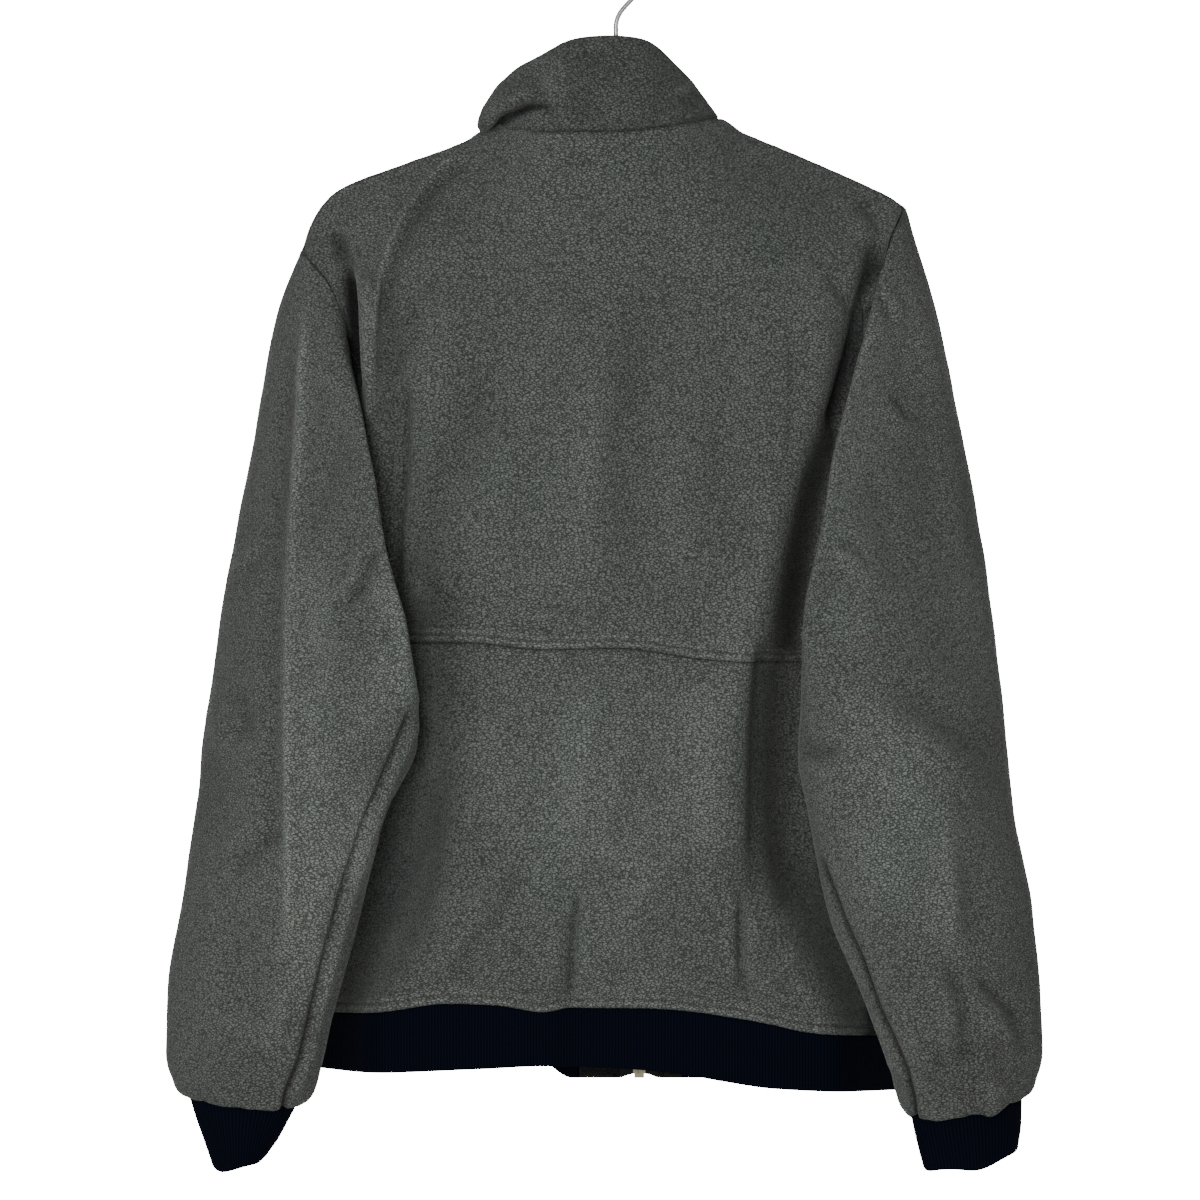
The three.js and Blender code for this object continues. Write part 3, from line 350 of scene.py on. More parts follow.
class Form:
    """The jacket's middle surfaces as functions of two parameters, in millimetres."""

    def __init__(self, sizes: FormSizes) -> None:
        """Keep the driving sizes.

        Args:
            sizes: The driving sizes.
        """
        self.s = sizes
        self.front_neck = CENTRE_FRONT.columns["z"][2]

    def outline(self, side: Side, face: Face, z: Array) -> Array:
        """Find a body panel's outline: the armhole above the underarm, the side seam below.

        Args:
            side: Which side.
            face: Back or front.
            z: Heights.

        Returns:
            Points of the outline.
        """
        arm = ARMHOLE[side]
        head, underarm = arm.columns["z"][0], arm.columns["z"][-1]
        seam = SIDE_SEAM[side].read("z", z)
        height = np.clip(z, underarm, head)
        lean = np.sqrt(np.maximum(0, 1 - (1 - 2 * (height - head) / (underarm - head)) ** 2))
        x = arm.read("z", height)["x"]
        y = -self.s.armhole_back * lean
        if face is Face.FRONT:
            x, y = x - np.sign(x) * self.s.armhole_scoop * lean**2, self.s.armhole_front * lean
        above = z > underarm
        return vec(np.where(above, x, seam["x"]), np.where(above, y, seam["y"]), np.where(above, height, z))

    def edge_height(self, side: Side, row: Array) -> Array:
        """Find the height of a row's end at the armhole or the side seam.

        Args:
            side: Which side.
            row: Rows, from 0 at the shoulder to the hem row.

        Returns:
            Heights; rows stand at even angles round the armhole and evenly below it.
        """
        s, arm = self.s, ARMHOLE[side].columns["z"]
        waist, hem, _ = s.heights[side]
        around = (1 - np.cos(np.pi * np.clip(row / s.armhole_rows, 0, 1))) / 2
        upper = np.clip((row - s.armhole_rows) / (s.waist_row - s.armhole_rows), 0, 1)
        skirt = np.clip((row - s.waist_row) / (s.hem_row - s.waist_row), 0, 1)
        return arm[0] + (arm[-1] - arm[0]) * around + (waist - arm[-1]) * upper + (hem - waist) * skirt

    def top(self, face: Face, x: Array) -> Array:
        """Find the top edge of the body, along the shoulder seams and the neck seam.

        Args:
            face: Back or front.
            x: Where along it.

        Returns:
            Points of the edge.
        """
        s = self.s
        z = TOP_LINE.read("x", x)["z"]
        around = np.sqrt(np.maximum(0, 1 - ((x - s.neck_x) / s.neck_half) ** 2))
        if face is Face.BACK:
            return vec(x, -s.neck_back * around, z)
        shoulder = TOP_LINE.read("x", s.neck_x + np.sign(x - s.neck_x) * s.neck_half)["z"]
        fallen = mix(shoulder, self.front_neck, around**s.neck_fall)
        return vec(x, s.neck_front * around, np.where(around > 0, fallen, z))

    def eased(self, knots: Sequence[tuple[Array, Array]], x: Array) -> Array:
        """Follow straight lines between knots, with each inner corner eased both ways.

        Args:
            knots: Pairs of position and value, in order.
            x: Where to read.

        Returns:
            The values.
        """
        slopes = [(b[1] - a[1]) / (b[0] - a[0]) for a, b in zip(knots, knots[1:])]
        value = knots[0][1] + slopes[0] * (x - knots[0][0])
        for (corner, _), turn in zip(knots[1:-1], np.diff(np.broadcast_arrays(*slopes), axis=0)):
            near = np.maximum(0, self.s.corner_ease - np.abs(x - corner))
            value = value + turn * (np.maximum(0, x - corner) + near**2 / (4 * self.s.corner_ease))
        return value

    def hang(self, top: Array, z: Array, full: Array) -> Array:
        """Let cloth hang from its top edge to its full depth over the shoulder drop."""
        drop = np.clip((top[..., 2] - z) / self.s.shoulder_drop, 0, 1)
        return mix(top[..., 1], full, 1 - (1 - drop) ** 3)

    def fold_depth(self, x: Array, z: Array) -> Array:
        """Add up the depth of the back's largest folds: bells across, fading at their ends.

        Args:
            x: Positions across.
            z: Heights.

        Returns:
            How far in the cloth goes.
        """
        f = {n: c.reshape(-1, *([1] * np.ndim(x + z))) for n, c in BACK_FOLDS.columns.items()}
        ux, uz = f["x2"] - f["x1"], f["z2"] - f["z1"]
        along = np.clip(((x - f["x1"]) * ux + (z - f["z1"]) * uz) / (ux**2 + uz**2), 0, 1)
        away = np.hypot(x - f["x1"] - along * ux, z - f["z1"] - along * uz)
        return (f["depth"] * bell(away, f["width"])).sum(0)

    def dip(self, row: Array, across: Array) -> Array:
        """Find how far rows near the underarm dip away from the side.

        Args:
            row: Rows.
            across: Share of the way across from the side.

        Returns:
            Height to add.
        """
        s = self.s
        below = np.clip((row - s.armhole_rows) / (s.waist_row - s.armhole_rows), 0, 1)
        rise = np.minimum(1, row / s.armhole_rows) ** 4
        near = np.exp(-across / s.dip_spread) * smooth(across / s.dip_start)
        return -s.underarm_dip * rise * (1 - below) * near

    def back(self, first: float, last: float, rows: Array, starts: Array) -> Array:
        """Make a back panel between two edge rows.

        Args:
            first: Its first row.
            last: Its last row.
            rows: The rows wanted.
            starts: Its columns, as the places where they leave the shoulder line.

        Returns:
            Points, rows by columns.
        """
        row, start = rows[:, None], starts[None, :]
        low, high = self.s.shoulder_ends
        across = (start - low) / (high - low)
        heights = {side: self.edge_height(side, row) for side in Side}
        left = self.outline(Side.LEFT, Face.BACK, heights[Side.LEFT])
        right = self.outline(Side.RIGHT, Face.BACK, heights[Side.RIGHT])
        top = self.top(Face.BACK, start)
        share = {}
        for side in Side:
            ends = [self.edge_height(side, np.array(r)) for r in (first, last)]
            share[side] = (heights[side] - ends[0]) / (ends[1] - ends[0])
        x = mix(left[..., 0], right[..., 0], across)
        down = mix(share[Side.LEFT], share[Side.RIGHT], across)
        waist, hem = WAIST_LINE.read("x", x)["z"], HEM_LINE.read("x", x)["z"]
        upper, lower = (top[..., 2], waist) if first == 0 else (waist, hem)
        z = mix(upper, lower, down) + self.dip(row, np.minimum(across, 1 - across))
        body = BODY.read("z", z)
        full = self.eased([
            (left[..., 0], left[..., 1]), (body["turn_left"], body["back"]),
            (body["turn_right"], body["back"]), (right[..., 0], right[..., 1]),
        ], x)
        fade = smooth(np.minimum(x - left[..., 0], right[..., 0] - x) / self.s.fold_fade)
        points = vec(x, self.hang(top, z, full) + self.fold_depth(x, z) * fade, z)
        points[:, 0], points[:, -1] = left[:, 0], right[:, 0]
        if rows[0] == 0:
            points[0] = top[0]
        return points

    def zip_edge(self, side: Side, z: Array | float) -> Array:
        """Find where along X a front ends beside the zip at some heights."""
        way = side.pick(-1, 1)
        return CENTRE_FRONT.read("z", z)["x"] + way * self.s.front_edge

    def down_edge(self, side: Side, row: Array) -> Array:
        """Find how far down its side a row ends, from 0 at the shoulder to 1 at the hem."""
        head, hem = (self.edge_height(side, np.array(r)) for r in (0.0, self.s.hem_row))
        return (self.edge_height(side, row) - head) / (hem - head)

    def front(self, side: Side, rows: Array, starts: Array) -> Array:
        """Make a front, from the armhole and side seam to the zip.

        Args:
            side: Which side.
            rows: The rows wanted.
            starts: Its columns, as the places where they leave the shoulder and neck lines.

        Returns:
            Points, rows by columns.
        """
        s = self.s
        row, start = rows[:, None], starts[None, :]
        shoulder = side.pick(*s.shoulder_ends)
        neck_edge = self.zip_edge(side, self.front_neck)
        across = (start - shoulder) / (neck_edge - shoulder)
        edge = self.outline(side, Face.FRONT, self.edge_height(side, row))
        top = self.top(Face.FRONT, start)
        centre_down = (self.down_edge(Side.LEFT, row) + self.down_edge(Side.RIGHT, row)) / 2
        centre_z = mix(self.front_neck, s.front_hem, centre_down)
        down = mix(self.down_edge(side, row), centre_down, across)
        x = mix(edge[..., 0], self.zip_edge(side, centre_z), across)
        z = mix(top[..., 2], mix(s.heights[side][1], s.front_hem, across), down)
        z = z + self.dip(row, across)
        body, centre = BODY.read("z", z), CENTRE_FRONT.read("z", z)
        full = self.eased([
            (0.0, edge[..., 1]), (s.front_turn, body["front"]),
            (np.abs(centre["x"] - edge[..., 0]), centre["y"]),
        ], np.abs(x - edge[..., 0]))
        points = vec(x, self.hang(top, z, full), z)
        points[:, 0] = edge[:, 0]
        if rows[0] == 0:
            points[0] = top[0]
        return points

    def rib(self, seam: Array, down: Array) -> Array:
        """Let the hem's wall down from its seam.

        Args:
            seam: Points of the hem seam.
            down: Shares of the way down, one row each.

        Returns:
            Points, rows by columns.
        """
        s = self.s
        x, y, z = seam[None, :, 0], seam[None, :, 1], seam[None, :, 2]
        centre = CENTRE_FRONT.columns["x"][-1]
        line = RIB_LINE.read("x", x)["z"]
        front = mix(s.front_rib, line, smooth((np.abs(x - centre) - s.rib_keep) / s.rib_ease))
        side_y = [SIDE_SEAM[side].read("z", s.heights[side][2])["y"] for side in Side]
        foot = np.where(y > np.where(x < centre, *side_y), front, line)
        share = down[:, None]
        return vec(x, y * (1 - s.rib_draw * np.sin(np.pi * share / 2)), mix(z, foot, share))

    def tube(self, rows: Table, place: Array, angle: Array) -> Array:
        """Find the sections of a sleeve or cuff.

        Args:
            rows: Its table.
            place: Places between the table's rows.
            angle: Angles round the section.

        Returns:
            Points.
        """
        r = rows.read("place", place)
        half = (r["oz"] + r["iz"]) / 2
        return oval(
            vec(r["ox"], r["oy"], r["oz"]), vec(r["bx"], r["by"], half),
            vec(r["ix"], r["iy"], r["iz"]), vec(r["fx"], r["fy"], half), angle,
        )

    def sleeve(self, side: Side, places: Array, around: Array) -> Array:
        """Make a sleeve, which leaves the armhole seam and passes into its own sections.

        Args:
            side: Which side.
            places: Places along its table, from 0 to 1.
            around: Shares of the way round, from the shoulder down the back and up the front.

        Returns:
            Points, rows by columns.
        """
        s, rows = self.s, SLEEVE[side]
        step = 2 * s.armhole_rows * around
        behind = step <= s.armhole_rows
        row = np.where(behind, step, 2 * s.armhole_rows - step)
        height = self.edge_height(side, row)
        seam = np.where(
            behind[:, None], self.outline(side, Face.BACK, height), self.outline(side, Face.FRONT, height),
        )
        angle = 2 * np.pi * around[None, :]
        place = places[:, None] * (len(rows.columns["place"]) - 1)
        hold = (1 - np.clip(place / s.sleeve_head_rows, 0, 1))[..., None] ** 2
        return self.tube(rows, place, angle) + hold * (seam[None] - self.tube(rows, np.zeros((1, 1)), angle))

    def cuff(self, side: Side, places: Array, around: Array) -> Array:
        """Make a cuff's points from places along it and shares of the way round."""
        last = len(CUFF[side].columns["place"]) - 1
        return self.tube(CUFF[side], places[:, None] * last, 2 * np.pi * around[None, :])

    def collar(self, rows: Array, count: int) -> Array:
        """Make the collar, from the neck seam through its middle section to its top edge.

        Args:
            rows: Shares of its height.
            count: How many columns on each of the left front, the back and the right front.

        Returns:
            Points, rows by columns, from the zip round the back to the zip.
        """
        s = self.s
        edges = {side: float(self.zip_edge(side, self.front_neck)) for side in Side}
        left = self.top(Face.FRONT, graded(edges[Side.LEFT], s.collar_ends[0], count, 0.3))
        back = self.top(Face.BACK, graded(s.collar_ends[0], s.collar_ends[1], 2 * count, -0.6))
        right = self.top(Face.FRONT, graded(s.collar_ends[1], edges[Side.RIGHT], count, 0.3))
        foot = np.concatenate([left, back[1:-1], right])
        away = (foot[:, 0] - s.neck_x) / s.neck_half
        depth = foot[:, 1] / np.where(foot[:, 1] > 0, s.neck_front, s.neck_back)
        angle = np.arctan2(-away, depth)
        angle[[0, -1]] = 0
        v = rows[:, None, None]
        middle = oval(*(np.array(p, float) for p in s.collar_middle), angle)
        top = oval(*(np.array(p, float) for p in s.collar_top), angle)
        points = foot * (1 - v) * (1 - 2 * v) + middle * 4 * v * (1 - v) + top * v * (2 * v - 1)
        up = bell(rows - s.roll_height, s.roll_spread) * (rows > 0)
        roll = up[:, None] * np.maximum(0, np.cos(angle - s.roll_angle)) ** 4
        points = points + roll[..., None] * np.array([s.roll_out, 0, s.roll_down])
        points[:, 0, 0] = self.zip_edge(Side.LEFT, points[:, 0, 2])
        points[:, -1, 0] = self.zip_edge(Side.RIGHT, points[:, -1, 2])
        return points


# ---------------------------------------------------------------- relief on the cloth


@dataclass(frozen=True)
class Crease:
    """A soft trough along a line in the XZ plane; a negative depth makes a ridge.

    Attributes:
        path: Corners of the line, in millimetres.
        width: Half width of the bell across it.
        depth: How far in it goes.
        tone: Painted light along it: painted highlight where positive, painted shade where negative.
        lean: Makes one flank steeper, from -1 to 1.
        fade: Share of the length over which each end fades.
    """

    path: tuple[tuple[float, float], ...]
    width: float
    depth: float
    tone: float = 0.0
    lean: float = 0.0
    fade: float = 0.25


def line_distance(x: Array, z: Array, path: Sequence[tuple[float, float]]) -> tuple[Array, Array]:
    """Measure points against a polyline.

    Args:
        x: Positions across.
        z: Heights.
        path: Corners of the line.

    Returns:
        The distance, negative on one side, and the share of the line's length at the nearest place.
    """
    corners = np.array(path, float)
    lengths = np.hypot(*np.diff(corners, axis=0).T)
    before = np.concatenate([[0], np.cumsum(lengths)])
    best = np.full(np.shape(x), np.inf)
    signed, share = np.zeros_like(best), np.zeros_like(best)
    for (ax, az), (bx, bz), length, start in zip(corners, corners[1:], lengths, before):
        ux, uz = (bx - ax) / length, (bz - az) / length
        along = np.clip((x - ax) * ux + (z - az) * uz, 0, length)
        dx, dz = x - ax - along * ux, z - az - along * uz
        away = np.hypot(dx, dz)
        nearer = away < best
        best = np.where(nearer, away, best)
        signed = np.where(nearer, away * np.sign(ux * dz - uz * dx), signed)
        share = np.where(nearer, (start + along) / before[-1], share)
    return signed, share


def crease_relief(creases: Iterable[Crease], x: Array, z: Array) -> tuple[Array, Array]:
    """Add up creases.

    Args:
        creases: The creases.
        x: Positions across.
        z: Heights.

    Returns:
        Height to add, out of the cloth, and painted light and shade to add to the colour.
    """
    relief, tone = np.zeros(np.shape(x)), np.zeros(np.shape(x))
    for crease in creases:
        away, share = line_distance(x, z, crease.path)
        near = bell(away, crease.width)
        ends = smooth(share / crease.fade) * smooth((1 - share) / crease.fade)
        relief -= crease.depth * near * ends * (1 + crease.lean * np.tanh(away / crease.width))
        # Painted light and shade along the crease.
        tone += crease.tone * near * ends
    return relief, tone


def undulation(a: Array, b: Array, scale: float, seed: int) -> Array:
    """Smooth seeded noise between -1 and 1: a random lattice read with eased blends.

    Args:
        a: First coordinate.
        b: Second coordinate.
        scale: Size of a lattice cell.
        seed: Seed of the lattice.

    Returns:
        The noise.
    """
    size = 64
    lattice = np.random.default_rng(seed).uniform(-1, 1, (size, size))
    u, v = a / scale + 0.37 * seed, b / scale + 0.61 * seed
    i, j = np.floor(u).astype(int), np.floor(v).astype(int)
    fu, fv = smooth(u - i), smooth(v - j)
    i, j, i1, j1 = i % size, j % size, (i + 1) % size, (j + 1) % size
    low = mix(lattice[i, j], lattice[i1, j], fu)
    return mix(low, mix(lattice[i, j1], lattice[i1, j1], fu), fv)


class Edge(Enum):
    """An edge of a cloth grid."""

    TOP = "top"
    BOTTOM = "bottom"
    START = "start"
    END = "end"


@dataclass(frozen=True)
class Sewing:
    """How an edge is sewn.

    Attributes:
        stitch: Distance of the topstitch from the edge; none if zero.
        band: How far the allowance under the cloth raises it between edge and stitch.
        groove: How deep the topstitch pulls the cloth in.
        pucker: Height of the small gathers along the seam.
        valley: Radius over which the edge rolls in to the seam.
        shade: How much painted shade darkens the seam.
        light: How much painted highlight lightens the rolled edge and the band beside the topstitch; the
            painted shade line under the topstitch is as strong.
    """

    stitch: float = 0.0
    band: float = 0.0
    groove: float = 0.0
    pucker: float = 0.0
    valley: float = 1.6
    shade: float = 0.0
    light: float = 0.0


@dataclass(frozen=True)
class ClothSpec:
    """What a cloth piece is.

    Attributes:
        name: Piece name.
        node: The solid it stands for.
        slot: The record's material slot.
        thickness: Cloth thickness, in millimetres.
        flat: Width and length of the cut, in metres.
        area: Flat area of the cut, in square metres.
        outward: 1 where columns cross rows outwards, -1 where they cross inwards.
        closed: Whether the columns close round.
        ribs: How many ribs the piece has across, if it is knitted.
        sewing: How each edge is sewn.
    """

    name: str
    node: str
    slot: str
    thickness: float
    flat: tuple[float, float]
    area: float
    outward: float = 1.0
    closed: bool = False
    ribs: int = 1
    sewing: dict[Edge, Sewing] = field(default_factory=dict)


@dataclass(frozen=True)
class DrapeSizes:
    """How any cloth is sewn, gathers and bags, in millimetres; a pair is a place and a half width."""

    stitch_press: float = 3.0
    stitch_groove: float = 1.3
    # Sizes of the painted shade and painted highlights at seams: stitch_line, stitch_ridge, edge_roll and
    # seam_shade.
    stitch_line: float = 1.1
    stitch_ridge: tuple[float, float] = (1.5, 1.8)
    edge_roll: tuple[float, float] = (3.2, 1.6)
    seam_shade: float = 2.0
    gather_reach: float = 9.0
    gather_sizes: tuple[float, float] = (5.5, 12.0)
    rim_half: float = 0.12
    even_start: float = 8.0
    bag_fade: float = 2.5
    bag_out: float = 0.6
    bag_vary: float = 0.3
    bag_scale: float = 26.0
    wave_sizes: tuple[float, float] = (42.0, 17.0)
    wave_start: float = 25.0
    # Painted shade on the inner face of every cloth piece.
    inner_shade: float = 0.55


DRAPE = DrapeSizes()


class Shell:
    """A thin cloth wall on a grid of middle points, with relief and painted light and shade on it."""

    def __init__(self, spec: ClothSpec, points: Array) -> None:
        """Measure the grid.

        Args:
            spec: What the piece is.
            points: Middle points, rows by columns, in millimetres.
        """
        self.spec = spec
        self.points = points
        self.normals = self._normals(points)
        down = np.linalg.norm(np.diff(points, axis=0), axis=-1)
        down = np.concatenate([np.zeros((1, points.shape[1])), np.cumsum(down, axis=0)])
        across = np.linalg.norm(np.diff(points, axis=1), axis=-1)
        across = np.concatenate([np.zeros((points.shape[0], 1)), np.cumsum(across, axis=1)], axis=1)
        self.down, self.across = down, across
        self.relief = np.zeros(points.shape[:2])
        # Painted light and shade, as a share of the colour to add.
        self.tone = np.zeros(points.shape[:2])

    def _normals(self, points: Array) -> Array:
        """Find unit normals by central differences.

        Args:
            points: Points, rows by columns.

        Returns:
            Normals that face out.
        """
        if self.spec.closed:
            across = np.roll(points, -1, axis=1) - np.roll(points, 1, axis=1)
        else:
            across = np.gradient(points, axis=1)
        normals = np.cross(across, np.gradient(points, axis=0)) * self.spec.outward
        return normals / np.maximum(np.linalg.norm(normals, axis=-1, keepdims=True), 1e-12)

    def distance(self, edge: Edge) -> Array:
        """Measure along the cloth from an edge, in millimetres."""
        return {
            Edge.TOP: self.down,
            Edge.BOTTOM: self.down[-1:] - self.down,
            Edge.START: self.across,
            Edge.END: self.across[:, -1:] - self.across,
        }[edge]

    def open_edges(self) -> list[Edge]:
        """List the grid's open edges."""
        ends = [] if self.spec.closed else [Edge.START, Edge.END]
        return [Edge.TOP, Edge.BOTTOM, *ends]

    def facing_back(self) -> Array:
        """Tell how far each point faces the back: 1 facing -Y and 0 facing +Y."""
        return smooth(0.5 - self.normals[..., 1] * 1.6)

    def sew(self) -> None:
        """Press the seams and topstitches into the cloth, gather it along them, and paint light and shade on
        it: painted shade in the seams and under the topstitches, painted highlights on the rolled edges and
        beside the topstitches.
        """
        for edge, work in self.spec.sewing.items():
            away = self.distance(edge)
            along = self.across if edge in (Edge.TOP, Edge.BOTTOM) else self.down
            past = away - work.stitch
            if work.stitch:
                self.relief += work.band * (1 - smooth((past + DRAPE.stitch_press / 2) / DRAPE.stitch_press))
                self.relief -= work.groove * bell(past, DRAPE.stitch_groove)
                # Painted shade: a dark line under the topstitch.
                self.tone -= work.light * bell(past, DRAPE.stitch_line)
            if work.pucker:
                fine, coarse = DRAPE.gather_sizes
                gather = undulation(along, away * 0.35, fine, 11)
                gather = gather + 0.6 * undulation(along, away * 0.3, coarse, 12)
                self.relief += work.pucker * bell(away - work.stitch / 2, DRAPE.gather_reach) * gather
            (roll, roll_width), (ridge, ridge_width) = DRAPE.edge_roll, DRAPE.stitch_ridge
            # Painted shade in the seam, and painted highlights on the rolled edge and the band beside the
            # topstitch.
            self.tone -= work.shade * bell(away, DRAPE.seam_shade)
            self.tone += work.light * (bell(away - roll, roll_width) + bell(past - ridge, ridge_width))

    def soften(self, rounds: int, reach: float) -> None:
        """Even out the cloth's depth across, below its top edge.

        Args:
            rounds: How many times each point moves to its neighbours' mean.
            reach: Distance from the top edge over which this fades out.
        """
        depth = self.points[..., 1].copy()
        for _ in range(rounds):
            depth[:, 1:-1] = (depth[:, :-2] + 2 * depth[:, 1:-1] + depth[:, 2:]) / 4
        share = smooth(self.down / DRAPE.even_start) * (1 - smooth(self.down / reach - 1))
        self.points[..., 1] = mix(self.points[..., 1], depth, share)
        self.normals = self._normals(self.points)

    def blouse(self, reach: float, out: float, down: float) -> None:
        """Let the cloth bag out over its bottom edge, and sag on its two broad faces.

        Args:
            reach: How far from the edge it bags most.
            out: How far it bags out.
            down: How far it sags.
        """
        away = self.distance(Edge.BOTTOM)
        bag = smooth(away / reach) * (1 - smooth((away - reach) / (DRAPE.bag_fade * reach)))
        vary = DRAPE.bag_vary
        uneven = 1 - vary / 2 + vary * undulation(self.across, away * 0.4, DRAPE.bag_scale, 41)
        broad = smooth(np.abs(self.normals[..., 1]) * 1.3 - 0.1)
        sag = (broad * down)[..., None] * np.array([0, 0, 1.0])
        self.points = self.points + (bag * uneven)[..., None] * (self.normals * out * DRAPE.bag_out - sag)
        self.normals = self._normals(self.points)

    def round_foot(self, lift: float, reach: float) -> None:
        """Raise the bottom edge where it turns from one broad face to the other.

        Args:
            lift: How far it rises.
            reach: Distance from the edge over which this fades.
        """
        turned = 1 - smooth(np.abs(self.normals[..., 1]) * 1.5)
        near = 1 - smooth(self.distance(Edge.BOTTOM) / reach)
        self.points[..., 2] += lift * turned * near
        self.normals = self._normals(self.points)

    def faces(self) -> tuple[Array, Array]:
        """Place the outer and inner faces of the wall.

        Returns:
            Outer and inner points; the wall rounds down to its open edges.
        """
        full = self.spec.thickness / 2
        half = np.full(self.relief.shape, full)
        for edge in self.open_edges():
            work = self.spec.sewing.get(edge)
            near = np.clip(self.distance(edge) / (work.valley if work else full), 0, 1)
            half = np.minimum(half, full * np.sqrt(1 - (1 - near) ** 2) + DRAPE.rim_half)
        out = self.normals * half[..., None]
        lifted = self.points + self.normals * self.relief[..., None]
        return lifted + out, lifted - out

    def build(self, material: Material) -> None:
        """Args:
            material: Its finish.
        """
        outer, inner = self.faces()
        rows, columns = self.relief.shape
        ribs = self.across[rows // 2]
        step = ribs[-1] / (columns - 1)
        total = ribs[-1] + (step if self.spec.closed else 0)
        u = np.concatenate([ribs, [total]]) / total * self.spec.ribs
        v = self.down[:, columns // 2] * MM
        obj = wall_object(self.spec, np.stack([outer, inner]) * MM, u, v)
        # Painted light and shade, stored for the fleece's colour; the inner face is painted darker still, as
        # shade.
        painted_shading = obj.data.attributes.new("painted_shading", "FLOAT", "POINT")
        tones = np.stack([self.tone, np.minimum(self.tone, 0) - DRAPE.inner_shade])
        painted_shading.data.foreach_set("value", tones.astype(np.float32).ravel())
        obj.data.materials.append(material)
        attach(obj, "jacket")
        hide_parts(self.spec.node)
        log.info("%s: %d by %d points", self.spec.name, rows, columns)


def mesh_object(name: str, points: Array, quads: Array, uvs: Array | None = None) -> Object:
    """Make a smooth-shaded mesh object from arrays.

    Args:
        name: Object name.
        points: Vertices, in metres.
        quads: Four vertex numbers per face.
        uvs: Two coordinates per face corner, if wanted.

    Returns:
        The linked object.
    """
    mesh = bpy.data.meshes.new(name)
    mesh.vertices.add(len(points))
    mesh.vertices.foreach_set("co", np.asarray(points, np.float32).ravel())
    mesh.loops.add(quads.size)
    mesh.loops.foreach_set("vertex_index", quads.astype(np.int32).ravel())
    mesh.polygons.add(len(quads))
    mesh.polygons.foreach_set("loop_start", np.arange(0, quads.size, quads.shape[1], dtype=np.int32))
    mesh.polygons.foreach_set("use_smooth", np.ones(len(quads), bool))
    if uvs is not None:
        mesh.uv_layers.new(name="cloth").data.foreach_set("uv", uvs.astype(np.float32).ravel())
    mesh.update(calc_edges=True)
    mesh.validate()
    obj = bpy.data.objects.new(name, mesh)
    bpy.context.scene.collection.objects.link(obj)
    return obj


def grid_quads(rows: int, columns: int, closed: bool = True) -> Array:
    """Number the faces between the points of a grid.

    Args:
        rows: Rows of points.
        columns: Points in a row.
        closed: Whether the last column joins the first.

    Returns:
        Four point numbers per face.
    """
    wide = columns if closed else columns - 1
    i, j = (g.ravel() for g in np.meshgrid(np.arange(rows - 1), np.arange(wide), indexing="ij"))
    row, after = i * columns, (j + 1) % columns
    return np.stack([row + j, row + after, row + columns + after, row + columns + j], 1)


def cap_quads(sides: int) -> Array:
    """Number the faces that cross an even ring of points from side to side."""
    half = np.arange(sides // 2 - 1)
    return np.stack([half, half + 1, sides - 2 - half, sides - 1 - half], 1)


def body_quads(rings: int, sides: int) -> Array:
    """Number the faces of a body through rings of points, closed at both ends."""
    cap = cap_quads(sides)
    return np.concatenate([grid_quads(rings, sides), cap[:, ::-1], cap + (rings - 1) * sides])


def wall_object(spec: ClothSpec, faces: Array, u: Array, v: Array) -> Object:
    """Make a closed wall from its outer and inner faces.

    Args:
        spec: What the piece is.
        faces: Outer and inner points, in metres.
        u: Coordinate of each column, with one more where the columns close.
        v: Coordinate of each row.

    Returns:
        The object.
    """
    _, rows, columns, _ = faces.shape
    wide = columns if spec.closed else columns - 1
    i, j = (g.ravel() for g in np.meshgrid(np.arange(rows - 1), np.arange(wide), indexing="ij"))
    count = rows * columns
    outer = grid_quads(rows, columns, spec.closed)
    corners = ((0, 0), (1, 0), (1, 1), (0, 1))
    skin_uv = np.stack([np.stack([u[j + along], v[i + down]], 1) for along, down in corners], 1)
    parts, uvs = [outer, outer[:, ::-1] + count], [skin_uv, skin_uv[:, ::-1]]

    def rim(a: Array, b: Array, at: Array) -> None:
        """Close the wall between runs a and b of outer corners, with their coordinates."""
        parts.append(np.stack([a, a + count, b + count, b], 1))
        uvs.append(np.repeat(at[:, None, :], 4, axis=1))

    j = np.arange(wide)
    after = (j + 1) % columns
    last = (rows - 1) * columns
    rim(j, after, np.stack([u[j], 0 * j + v[0]], 1))
    rim(last + after, last + j, np.stack([u[j], 0 * j + v[-1]], 1))
    if not spec.closed:
        i = np.arange(rows - 1)
        rim((i + 1) * columns, i * columns, np.stack([0 * i + u[0], v[i]], 1))
        end = columns - 1
        rim(i * columns + end, (i + 1) * columns + end, np.stack([0 * i + u[end], v[i]], 1))
    quads, corner_uv = np.concatenate(parts), np.concatenate(uvs)
    if spec.outward < 0:
        quads, corner_uv = quads[:, ::-1], corner_uv[:, ::-1]
    return mesh_object(spec.name, faces.reshape(-1, 3), quads, corner_uv)


# ---------------------------------------------------------------- creases


def creases(rows: Sequence[Sequence]) -> tuple[Crease, ...]:
    """Read creases from rows: the path as x and z in turn, then the other values in order."""
    return tuple(Crease(tuple(zip(path[::2], path[1::2])), *values) for path, *values in rows)
